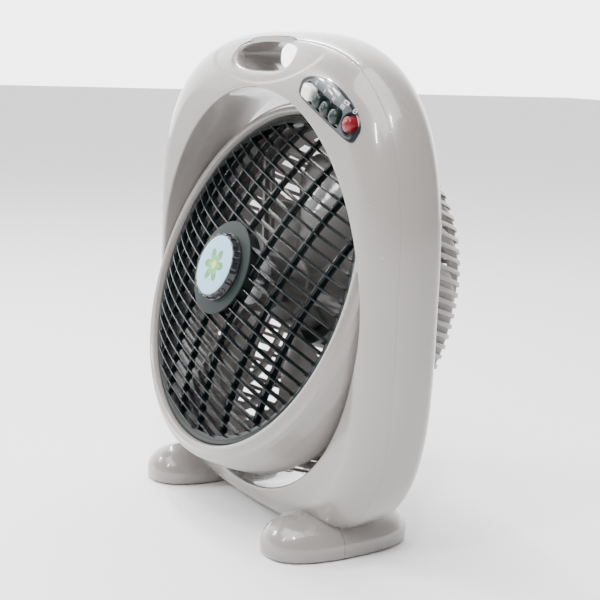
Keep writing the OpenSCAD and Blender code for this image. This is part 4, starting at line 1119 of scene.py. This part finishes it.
def grown(name, tree, values, base=None):
    """A plain mesh object from a Geometry Nodes tree; values are given by input name."""
    group, names = tree
    mesh = bpy.data.meshes.new(name) if base is None else base.data
    made = bpy.data.objects.new(name, mesh) if base is None else base
    if base is None:
        bpy.context.scene.collection.objects.link(made)
    step = made.modifiers.new("grow", "NODES")
    step.node_group = group
    for title, value in values.items():
        step[names[title]] = value
    bake_modifiers(made)
    return made


STRIPS = make_strip_tree()
print("strip tree inputs:", ", ".join(STRIPS[1]))

# %% [markdown]
# ## The turning louvre
#
# The louvre is a flat dome of thin slanted vanes, tied together by a few deeper-set cross bars
# and a rim. It's drawn face up, with its air axis along z, then turned to face forward.

# %% Louvre
LOUVRE_R = 161.2
LOUVRE_RIM = 8.4
DOME_R = 406.0
HUB_R = 45.0
HUB_TOP = 66.3
DOME_MID = HUB_TOP - math.sqrt(DOME_R ** 2 - HUB_R ** 2)
VANE_ANGLE = math.radians(-16.5)
SLEEVE_GAP_R = HUB_R - 3


def face_forward(made, turn=0.0):
    """Turns a piece drawn face up to face forward, after a turn about its own axis."""
    made.data.transform(Matrix.Rotation(math.radians(90), 4, "X") @ Matrix.Rotation(turn, 4, "Z"))
    return made


def cylinder_tool(r, d0, d1, steps=160):
    angles = [2 * math.pi * i / steps for i in range(steps)]
    circle = [(r * math.cos(a), r * math.sin(a)) for a in angles]
    return lofted("tool", [[(x, y, d) for x, y in circle] for d in (d0, d1)])


def louvre_strips(name, count, pitch, thickness, depth, setback, turn):
    made = grown(name, STRIPS, {
        "Count": count, "Pitch": pitch * MM, "Reach": (LOUVRE_R - LOUVRE_RIM + 0.8) * MM,
        "Dome Radius": DOME_R * MM, "Dome Height": DOME_R * MM, "Dome Power": 2.0,
        "Thickness": thickness * MM, "Depth": depth * MM, "Setback": setback * MM,
        "Edge Radius": 0.46 * thickness * MM, "Samples": 48, "Material": finish["louvre"],
    })
    made.data.transform(Matrix.Translation((0, 0, DOME_MID * MM)))
    cut(made, cylinder_tool(SLEEVE_GAP_R, 20, 90))
    return face_forward(made, turn)


vanes = louvre_strips("vanes", 27, 11.5, 1.3, 9.0, 0.0, VANE_ANGLE)
bars = louvre_strips("bars", 7, 38.5, 3.2, 7.0, 4.0, VANE_ANGLE + math.radians(90))
RIM = [
    (LOUVRE_R, 27.4, 0.4), (LOUVRE_R, 35.2, 1.2), (LOUVRE_R - 4, 36.0, 4),
    (LOUVRE_R - LOUVRE_RIM, 35.4, 1.0), (LOUVRE_R - LOUVRE_RIM, 27.4, 0.4),
]
rim = turned("rim", rounded(RIM))
louvre = into_head(joined("louvre_grille_skin", [vanes, bars, rim]))
settle(louvre, "louvre", ["louvre_grille"])

# %% [markdown]
# ## Rear guard
#
# The guard is a deep basket of level slats, closed by a round plate behind the motor. The same
# strip tree makes the slats, with a squarer dome. Four upright ribs tie them, and a flange ring
# is screwed to the drum.

# %% Guard
GUARD_R = 171.8
GUARD_BACK = 111.0
GUARD_AT = -14.0
GUARD_POWER = 4.1
GUARD_WALL = 2.8
SLAT_PITCH = 9.6
SLAT_WIDTH = 4.2
HUB_PLATE_R = 56.0
RIB_PLACES = (74.0, 96.0, 118.0, 140.0, 157.0)


def guard_strips(name, count, pitch, width, deep, setback):
    made = grown(name, STRIPS, {
        "Count": count, "Pitch": pitch * MM, "Reach": (GUARD_R - 0.2) * MM,
        "Dome Radius": GUARD_R * MM, "Dome Height": (GUARD_BACK + GUARD_AT) * MM, "Dome Power": GUARD_POWER,
        "Thickness": width * MM, "Depth": deep * MM, "Setback": setback * MM,
        "Edge Radius": 0.9 * MM, "Samples": 88, "Material": finish["guard"],
    })
    made.data.transform(Matrix.Translation((0, 0, -GUARD_AT * MM)))
    # drawn as a dome standing on the floor, then tipped to bulge backward
    made.data.transform(Matrix.Rotation(math.radians(-90), 4, "X"))
    return made


def guard_depth(r):
    """Distance behind the pivot of the dome's outer face at radius r."""
    q = min(1.0, r / GUARD_R)
    return GUARD_AT - (GUARD_BACK + GUARD_AT) * (1 - q ** GUARD_POWER) ** (1 / GUARD_POWER)


slats = guard_strips("slats", 36, SLAT_PITCH, SLAT_WIDTH, GUARD_WALL, 0.0)
ribs = joined("ribs", [guard_strips("ribs", 2, 2 * x, 3.2, 6.0, 1.6) for x in RIB_PLACES])
ribs.data.transform(Matrix.Rotation(math.radians(90), 4, "Y"))
# the plate stands a little proud of the fins that run into it, outside and inside
PLATE_OUTSIDE, PLATE_INSIDE = 0.5, 0.4
PLATE_WALL = GUARD_WALL + PLATE_OUTSIDE + PLATE_INSIDE
plate_line = [(HUB_PLATE_R * k / 8, guard_depth(HUB_PLATE_R * k / 8) - PLATE_OUTSIDE) for k in range(9)]
plate = turned("plate", plate_line + [(r, d + PLATE_WALL) for r, d in reversed(plate_line)])
FLANGE = [
    (177.7, -14, 0.3), (177.7, -17, 0.6), (171.8, -17, 0.3),
    (171.6, -30, 1), (168.8, -30, 1), (168.8, -14, 0.3),
]
flange = turned("flange", rounded(FLANGE))
guard = into_head(joined("rear_guard_skin", [slats, ribs, plate, flange]))
settle(guard, "guard", ["rear_guard"])

# %% [markdown]
# ## Fan blades
#
# A blade is a twisted paddle: its root follows the hub, its chord leans along the axis, and its
# leading corner is swept back. One blade is made from that rule, then a small Geometry Nodes
# tree sets the copies round the hub.

# %% One blade
BLADES = 5
BLADE_HUB_R = 33.0
BLADE_R = 141.0
BLADE_THICK = 2.2
BLADE_HUB_BACK = -42.0


def blade_place(u, w, t):
    """Point of the blade at share u outward and share w along the chord, t through it."""
    r = BLADE_HUB_R - 2 + (BLADE_R - BLADE_HUB_R + 2) * u
    span = 58 * (1 - 0.55 * u ** 6 * (1 if w > 0 else 0.6))
    a = math.radians(span * w + 20 * u)
    rise = 30 * (1 - 0.35 * u) * w + 3 * (1 - 4 * w * w)
    return (r * math.cos(a), -(BLADE_HUB_BACK + 17 + rise + t), r * math.sin(a))


def make_blade(outward=40, chord=24):
    rings = []
    for i in range(outward + 1):
        u = i / outward
        thick = BLADE_THICK / 2 * math.sqrt(max(0.02, 1 - max(0.0, (u - 0.985) / 0.015) ** 2))
        ring = []
        for k in range(2 * chord):
            # round the section: w runs there on the front face and back on the rear face
            a = 2 * math.pi * (k + 0.5) / (2 * chord)
            w = 0.5 * math.cos(a)
            edge = min(1.0, (0.5 - abs(w)) / 0.02)
            side = math.copysign(1, math.sin(a))
            ring.append(blade_place(u, w, side * thick * math.sqrt(max(0.0, edge * (2 - edge)))))
        rings.append(ring)
    return lofted("blade", rings)


# %% Copies round the hub
def make_ring_tree():
    group = bpy.data.node_groups.new("copies_round_an_axis", "GeometryNodeTree")
    names = tree_inputs(group, [
        ("Geometry", "NodeSocketGeometry", None), ("Count", "NodeSocketInt", 5),
        ("Material", "NodeSocketMaterial", None),
    ])
    start = group.nodes.new("NodeGroupInput").outputs
    end = group.nodes.new("NodeGroupOutput")
    spots = group.nodes.new("GeometryNodeMeshLine")
    link(group, start["Count"], spots.inputs["Count"])
    spots.inputs["Offset"].default_value = (0, 0, 0)
    index = group.nodes.new("GeometryNodeInputIndex").outputs[0]
    turn = calc(group, "MULTIPLY", calc(group, "DIVIDE", index, start["Count"]), 2 * math.pi)
    copies = group.nodes.new("GeometryNodeInstanceOnPoints")
    link(group, spots.outputs["Mesh"], copies.inputs["Points"])
    link(group, start["Geometry"], copies.inputs["Instance"])
    link(group, join_xyz(group, 0.0, turn, 0.0), copies.inputs["Rotation"])
    real = group.nodes.new("GeometryNodeRealizeInstances")
    link(group, copies.outputs["Instances"], real.inputs["Geometry"])
    dress = group.nodes.new("GeometryNodeSetMaterial")
    link(group, real.outputs["Geometry"], dress.inputs["Geometry"])
    link(group, start["Material"], dress.inputs["Material"])
    link(group, dress.outputs["Geometry"], end.inputs["Geometry"])
    return group, names


RING = make_ring_tree()
blades = grown("blades", RING, {"Count": BLADES, "Material": finish["fan"]}, make_blade())
HUB_CUP = [
    (4.1, -10, 0), (30, -11, 3), (30, -42, 0.5), (33, -42, 0.5), (33, -8, 4), (4.1, -8, 0.5),
]
cup = turned("cup", rounded(HUB_CUP))
boss = turned("boss", rounded([(4.1, -40, 0.3), (9, -40, 0.5), (9, -9, 0.3), (4.1, -9, 0.3)]))
fan = into_head(joined("fan_blade_skin", [blades, cup, boss]))
settle(fan, "fan", ["fan_blade"])

# %% [markdown]
# ## Hub, knob and badge
#
# A flange disc closes the middle of the louvre. The knob on it is turned, then a small tree
# presses the grip flutes into its wall: points near a flute's middle move toward the axis.

# %% Flute tree
def make_flute_tree():
    group = bpy.data.node_groups.new("grip_flutes", "GeometryNodeTree")
    names = tree_inputs(group, [
        ("Geometry", "NodeSocketGeometry", None), ("Count", "NodeSocketInt", 24),
        ("Flute Depth", "NodeSocketFloat", 0.001), ("Inner Radius", "NodeSocketFloat", 0.03),
        ("Low", "NodeSocketFloat", 0.0), ("High", "NodeSocketFloat", 0.01),
        ("Material", "NodeSocketMaterial", None),
    ])
    start = group.nodes.new("NodeGroupInput").outputs
    end = group.nodes.new("NodeGroupOutput")
    place = group.nodes.new("GeometryNodeInputPosition")
    split = group.nodes.new("ShaderNodeSeparateXYZ")
    link(group, place.outputs["Position"], split.inputs[0])
    x, y, z = (split.outputs[k] for k in "XYZ")
    angle = calc(group, "ARCTAN2", z, x)
    wave = calc(group, "COSINE", calc(group, "MULTIPLY", angle, start["Count"]))
    flute = calc(group, "POWER", calc(group, "MAXIMUM", wave, 0.0), 0.7)
    radius = calc(group, "ADD", calc(group, "MULTIPLY", x, x), calc(group, "MULTIPLY", z, z))
    radius = calc(group, "SQRT", radius)
    outside = calc(group, "GREATER_THAN", radius, start["Inner Radius"])
    ahead = calc(group, "MULTIPLY", y, -1.0)
    rising = calc(group, "GREATER_THAN", ahead, start["Low"])
    falling = calc(group, "LESS_THAN", ahead, start["High"])
    share = calc(group, "MULTIPLY", calc(group, "MULTIPLY", outside, rising), falling)
    press = calc(group, "MULTIPLY", calc(group, "MULTIPLY", flute, share), start["Flute Depth"])
    scale = calc(group, "SUBTRACT", 1.0, calc(group, "DIVIDE", press, calc(group, "MAXIMUM", radius, 0.001)))
    move = group.nodes.new("GeometryNodeSetPosition")
    link(group, start["Geometry"], move.inputs["Geometry"])
    link(group, join_xyz(group, calc(group, "MULTIPLY", x, scale), y, calc(group, "MULTIPLY", z, scale)),
         move.inputs["Position"])
    dress = group.nodes.new("GeometryNodeSetMaterial")
    link(group, move.outputs["Geometry"], dress.inputs["Geometry"])
    link(group, start["Material"], dress.inputs["Material"])
    link(group, dress.outputs["Geometry"], end.inputs["Geometry"])
    return group, names


# %% Hub, knob and badge
DISC_BACK, DISC_FRONT = 66.7, 68.3
KNOB_R = 31.0
KNOB_FRONT = 76.6
BADGE_R = 28.4
HUB = [
    (0.0, 60, 0), (38, 60, 1), (39.5, 54, 0.3), (41.8, 54, 0.3), (41.8, DISC_BACK, 0.2),
    (45, DISC_BACK, 0.4), (45, DISC_FRONT, 0.7), (0.0, DISC_FRONT, 0),
]
hub_disc = turned("disc", rounded(HUB, 4))
hub_shaft = turned("shaft", [(0, 30), (7, 30), (7, 61), (0, 61)], 64)
hub = into_head(joined("louvre_hub_skin", [hub_disc, hub_shaft]))
settle(hub, "hub", ["louvre_hub"])

wall = [(KNOB_R + 1.5, DISC_FRONT), (KNOB_R + 1.4, DISC_FRONT + 1.9)]
wall += [(KNOB_R + 1.2 - 1.1 * k / 10, DISC_FRONT + 2.0 + 0.5 * k) for k in range(11)]
wall += [(KNOB_R - 0.3 + 0.1 * k - 0.9 * (k / 4) ** 2, KNOB_FRONT - 0.5 + 0.5 * k / 4) for k in range(1, 5)]
face = [
    (BADGE_R + 0.6, KNOB_FRONT), (BADGE_R + 0.2, KNOB_FRONT - 0.2),
    (BADGE_R + 0.2, KNOB_FRONT - 0.8), (0.0, KNOB_FRONT - 0.8),
]
knob = turned("louvre_knob_skin", [(0.0, DISC_FRONT)] + wall + face, 720)
grown("louvre_knob_skin", make_flute_tree(), {
    "Count": 18, "Flute Depth": 1.3 * MM, "Inner Radius": (KNOB_R - 1) * MM,
    "Low": (DISC_FRONT + 2.1) * MM, "High": (KNOB_FRONT + 1) * MM, "Material": finish["knob"],
}, knob)
settle(into_head(knob), "knob", ["louvre_knob"])
badge_line = [
    (BADGE_R * math.sin(math.radians(a)), KNOB_FRONT - 0.1 + 0.5 * math.cos(math.radians(a)))
    for a in range(0, 91, 6)
]
badge_back = [(BADGE_R, KNOB_FRONT - 0.75), (0.0, KNOB_FRONT - 0.75)]
badge = into_head(turned("knob_badge_skin", badge_line + badge_back))
settle(badge, "badge", ["knob_badge"])

# %% [markdown]
# ## Control panel
#
# The panel is a D-shaped plate that lies on the curved front face. Its keys stand in a shallow
# well, and a printed film follows the curved edge. Everything here is drawn on a flat drawing,
# with s along the straight edge and v across it, and then laid on the face.

# %% Panel plate
KEYS = {
    # finish, then place s and v, half width, half height, corner, stand-out, crown radius, dome
    "off_button": ("key_white", 16.3, 6.1, 6.8, 6.4, 3.0, 7.2, 2.2, 0.5),
    "low_button": ("key_dark", 31.0, 5.2, 5.8, 6.2, 5.0, 7.0, 3.2, 1.4),
    "medium_button": ("key_dark", 45.0, 4.7, 5.8, 6.2, 5.0, 7.0, 3.2, 1.4),
    "high_button": ("key_dark", 59.5, 5.2, 5.8, 6.2, 5.0, 7.0, 3.2, 1.4),
    "louvre_button": ("key_red", 79.5, 8.4, 6.7, 6.7, 6.7, 6.3, 2.4, 1.0),
}
WELL_LOW, WELL_HIGH = (7.6, -2.8), (67.4, 13.2)
WELL_CORNER = 4.0
WELL_DEEP = 2.0
EYE_R = 8.8


def well_gap(s, v):
    """Distance of a drawing place inside the wells' edge: the keys' slot or the round eye."""
    middle_s, middle_v = (WELL_LOW[0] + WELL_HIGH[0]) / 2, (WELL_LOW[1] + WELL_HIGH[1]) / 2
    out_s = abs(s - middle_s) - (WELL_HIGH[0] - WELL_LOW[0]) / 2 + WELL_CORNER
    out_v = abs(v - middle_v) - (WELL_HIGH[1] - WELL_LOW[1]) / 2 + WELL_CORNER
    slot = WELL_CORNER - math.hypot(max(out_s, 0), max(out_v, 0)) - min(max(out_s, out_v), 0)
    eye_s, eye_v = KEYS["louvre_button"][1:3]
    return max(slot, EYE_R - math.hypot(s - eye_s, v - eye_v))


def panel_plate(steps=480):
    """The plate: many rings from the middle out to its border, then down to the face."""
    scales = [k / 100 for k in range(1, 96)] + [0.962, 0.975, 0.985, 0.993, 0.998, 1.0]
    drops = {0.985: 0.04, 0.993: 0.16, 0.998: 0.38, 1.0: 0.9}
    angles = [2 * math.pi * i / steps for i in range(steps)]
    top = []
    for k in scales:
        ring = []
        for a in angles:
            s, v = panel_outline(a, k)
            t = max(0.0, min(1.0, well_gap(s, v) / 0.8 + 0.5))
            ring.append(on_face(s, v, PLATE_UP - drops.get(k, 0.0) - WELL_DEEP * t * t * (3 - 2 * t)))
        top.append(ring)
    under = [[on_face(*panel_outline(a, k), -2.6) for a in angles] for k in (0.95, 0.5, 0.1)]
    return lofted("control_fascia_skin", top + under)


fascia = panel_plate()
settle(fascia, "fascia", ["control_fascia"])

# %% [markdown]
# The printed film covers the plate up to a dark border, and stops short of the two wells. Its
# marks are plain signs: a ring for off, one to three strokes for the speeds, and a barred ring
# for the turning louvre.

# %% Film and marks
FILM_SCALE = 0.90
FILM_UP = PLATE_UP + 0.22
FILM_CLEAR = 1.5


def drawn(outline, low, high):
    """A thin solid from an outline on the drawing, between two heights over the face."""
    return lofted("drawn", [[on_face(s, v, up) for s, v in outline] for up in (low, high)])


def film_sheet(steps=480):
    scales = [k / 60 * FILM_SCALE for k in range(1, 61)]
    angles = [2 * math.pi * i / steps for i in range(steps)]
    top = [[on_face(*panel_outline(a, k), FILM_UP) for a in angles] for k in scales]
    under = [
        [on_face(*panel_outline(a, k), PLATE_UP + 0.02) for a in angles]
        for k in (FILM_SCALE, 0.4, 0.05)
    ]
    return lofted("legend_strip_skin", top + under)


def well_tool(kind, grow):
    if kind == "slot":
        (s0, v0), (s1, v1) = WELL_LOW, WELL_HIGH
        half_s, half_v = (s1 - s0) / 2 + grow, (v1 - v0) / 2 + grow
        ring = key_ring(half_s, half_v, WELL_CORNER + grow, 0.0)
        outline = [((s0 + s1) / 2 + p, (v0 + v1) / 2 + q) for p, q in ring]
    else:
        s, v = KEYS["louvre_button"][1:3]
        outline = [
            (
                s + (EYE_R + grow) * math.cos(2 * math.pi * i / 60),
                v + (EYE_R + grow) * math.sin(2 * math.pi * i / 60),
            )
            for i in range(60)
        ]
    return drawn(outline, -3, 5)


def key_ring(half_w, half_h, corner, inset, steps=12):
    """Outline of a rounded rectangle, inset by a distance."""
    w, h = half_w - inset, half_h - inset
    r = max(min(corner - 0.5 * inset, w, h), 0.05)
    points = []
    for q, (sx, sy) in enumerate(((1, 1), (-1, 1), (-1, -1), (1, -1))):
        for i in range(steps + 1):
            a = math.radians(90 * (q + i / steps))
            points.append((sx * (w - r) + r * math.cos(a), sy * (h - r) + r * math.sin(a)))
    return points


def bar_mark(s, v, w, h):
    box = [(s - w / 2, v - h / 2), (s + w / 2, v - h / 2), (s + w / 2, v + h / 2), (s - w / 2, v + h / 2)]
    return drawn(box, FILM_UP - 0.02, FILM_UP + 0.06)


def ring_mark(s, v, half_w, half_h, thick=0.6, steps=40):
    sections = []
    for i in range(steps):
        a = 2 * math.pi * i / steps
        line = [(s + (half_w - t) * math.cos(a), v + (half_h - t) * math.sin(a)) for t in (thick, 0)]
        low, high = FILM_UP - 0.02, FILM_UP + 0.06
        sections.append([
            on_face(*line[0], low), on_face(*line[1], low),
            on_face(*line[1], high), on_face(*line[0], high),
        ])
    return looped("mark", sections)


film = film_sheet()
for kind, grow in (("slot", 0.4), ("eye", FILM_CLEAR)):
    cut(film, well_tool(kind, grow))
settle(film, "film", ["legend_strip"])
marks = [ring_mark(19.5, 16.4, 1.5, 1.9)]
for count, s in enumerate((34.5, 49.0, 63.0), 1):
    marks += [bar_mark(s + 1.9 * (k - (count - 1) / 2), 16.4, 0.9, 3.4) for k in range(count)]
    marks += [bar_mark(s + 1.5, 22.0 - 0.004 * (s - 45) ** 2, 3.2 + 1.1 * count, 0.8 + 0.7 * count)]
marks += [ring_mark(77.0, 19.2, 2.2, 2.0), bar_mark(77.0, 19.2, 3.0, 0.6)]
legend = joined("legend_marks", marks)
legend.data.materials.append(finish["mark"])
shade(legend)
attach(legend, "frame")
print(len(marks), "marks on the film")

# %% [markdown]
# ## Push buttons
#
# Each key is a block with rounded corners and a softly rounded crown. Its outline is drawn on
# the panel's drawing and stacked up in rings that draw in toward the crown.

# %% Keys
STEM_R = 2.4
STEM_BACK = -13.0


def make_key(name, key, s, v, half_w, half_h, corner, out, crown_r, dome):
    x0, z0 = from_drawing(s, v)
    face = front_depth(x0, z0)
    c, n = math.cos(PANEL_TURN), math.sin(PANEL_TURN)
    shoulder = face - out + dome
    levels = [(0.0, face + 5), (0.0, shoulder + crown_r)]
    levels += [
        (crown_r * (1 - math.cos(math.radians(a))), shoulder + crown_r * (1 - math.sin(math.radians(a))))
        for a in range(10, 81, 10)
    ]
    inner = min(half_w, half_h) - crown_r
    levels += [(crown_r + inner * q, shoulder - dome * q * (2 - q)) for q in (0.0, 0.2, 0.4, 0.6, 0.8, 0.97)]
    rings = [
        [(x0 + p * c - q * n, y, z0 + p * n + q * c) for p, q in key_ring(half_w, half_h, corner, inset)]
        for inset, y in levels
    ]
    block = lofted("block", rings)
    stem = lofted("stem", [
        [
            (x0 + STEM_R * math.cos(math.radians(a)), y, z0 + STEM_R * math.sin(math.radians(a)))
            for a in range(0, 360, 15)
        ]
        for y in (face + 4.9, STEM_BACK)
    ])
    return settle(joined(name + "_skin", [block, stem]), key, [name])


for name, values in KEYS.items():
    make_key(name, *values)

# %% [markdown]
# ## Feet
#
# Each foot is a loaf: an oval plan with a short upright skirt and a rounded top, split in a front
# and a rear half along the frame's own seam. The frame sits in it, so the loaf may pass through
# the frame's hollow lower part unseen.

# %% Feet
FOOT_X = 115.7
FOOT_HALF_W, FOOT_HALF_L = 37.5, 73.5
FOOT_HIGH, FOOT_SKIRT = 36.0, 10.0
FOOT_POWER = 2.5
FOOT_END_R = 30.0
FOOT_GROUND = 1.2


def foot_ring(x0, z, w, l, steps=160):
    ring = []
    for i in range(steps):
        a = 2 * math.pi * i / steps
        c, s = math.cos(a), math.sin(a)
        ring.append((
            x0 + w * math.copysign(abs(c) ** (2 / FOOT_POWER), c),
            l * math.copysign(abs(s) ** (2 / FOOT_POWER), s),
            z,
        ))
    return ring


def foot_half(name, side, end):
    """The front half (end -1) or the rear half (end 1) of the foot on one side."""
    rings = [foot_ring(side * FOOT_X, FOOT_GROUND + q, FOOT_HALF_W - 2.5 + p, FOOT_HALF_L - 2.5 + p)
             for q, p in ((0, 0), (0.3, 0.9), (1.0, 1.8), (2.5, 2.5))]
    for k in range(25):
        a = math.radians(88 * k / 24)
        s = math.cos(a)
        z = FOOT_SKIRT + (FOOT_HIGH - FOOT_SKIRT) * math.sin(a)
        rings.append(foot_ring(side * FOOT_X, z, FOOT_HALF_W * s, FOOT_HALF_L - FOOT_END_R * (1 - s)))
    made = lofted(name + "_skin", rings)
    work = bmesh.new()
    work.from_mesh(made.data)
    split_y = (seam_y + end * 0.2) * MM
    sides = work.verts[:] + work.edges[:] + work.faces[:]
    done = bmesh.ops.bisect_plane(
        work, geom=sides, plane_co=(0, split_y, 0), plane_no=(0, -end, 0), clear_outer=True
    )
    rim_edges = [e for e in done["geom_cut"] if isinstance(e, bmesh.types.BMEdge)]
    bmesh.ops.holes_fill(work, edges=rim_edges)
    work.to_mesh(made.data)
    work.free()
    return settle(made, "shell", [name])


for side, side_name in ((-1, "left"), (1, "right")):
    for end, end_name in ((-1, "front"), (1, "rear")):
        foot_half(f"foot_{side_name}_{end_name}", side, end)

# %% [markdown]
# ## The pieces that stay as the model has them
#
# Screws, pins, the motor and the carrier are already the right shape. Their flat facets are
# smoothed by merging each mesh's points and letting the shading run across shallow edges.

# %% Smoothed copies
done_nodes = {
    "front_shell", "rear_shell", "head_drum", "louvre_grille", "rear_guard", "fan_blade", "louvre_hub",
    "louvre_knob", "knob_badge", "control_fascia", "legend_strip", *KEYS,
    "foot_left_front", "foot_left_rear", "foot_right_front", "foot_right_rear",
}


def smoothed(name, key):
    source = frame["nodes"][name]
    mesh = source.data.copy()
    made = bpy.data.objects.new(name + "_skin", mesh)
    bpy.context.scene.collection.objects.link(made)
    work = bmesh.new()
    work.from_mesh(mesh)
    bmesh.ops.transform(work, matrix=source.matrix_world, verts=work.verts)
    bmesh.ops.remove_doubles(work, verts=work.verts, dist=2e-6)
    work.to_mesh(mesh)
    work.free()
    if "custom_normal" in mesh.attributes:
        mesh.attributes.remove(mesh.attributes["custom_normal"])
    return settle(made, key, [name])


for key, names in NODE_FINISH.items():
    for name in names:
        if name not in done_nodes:
            smoothed(name, key)
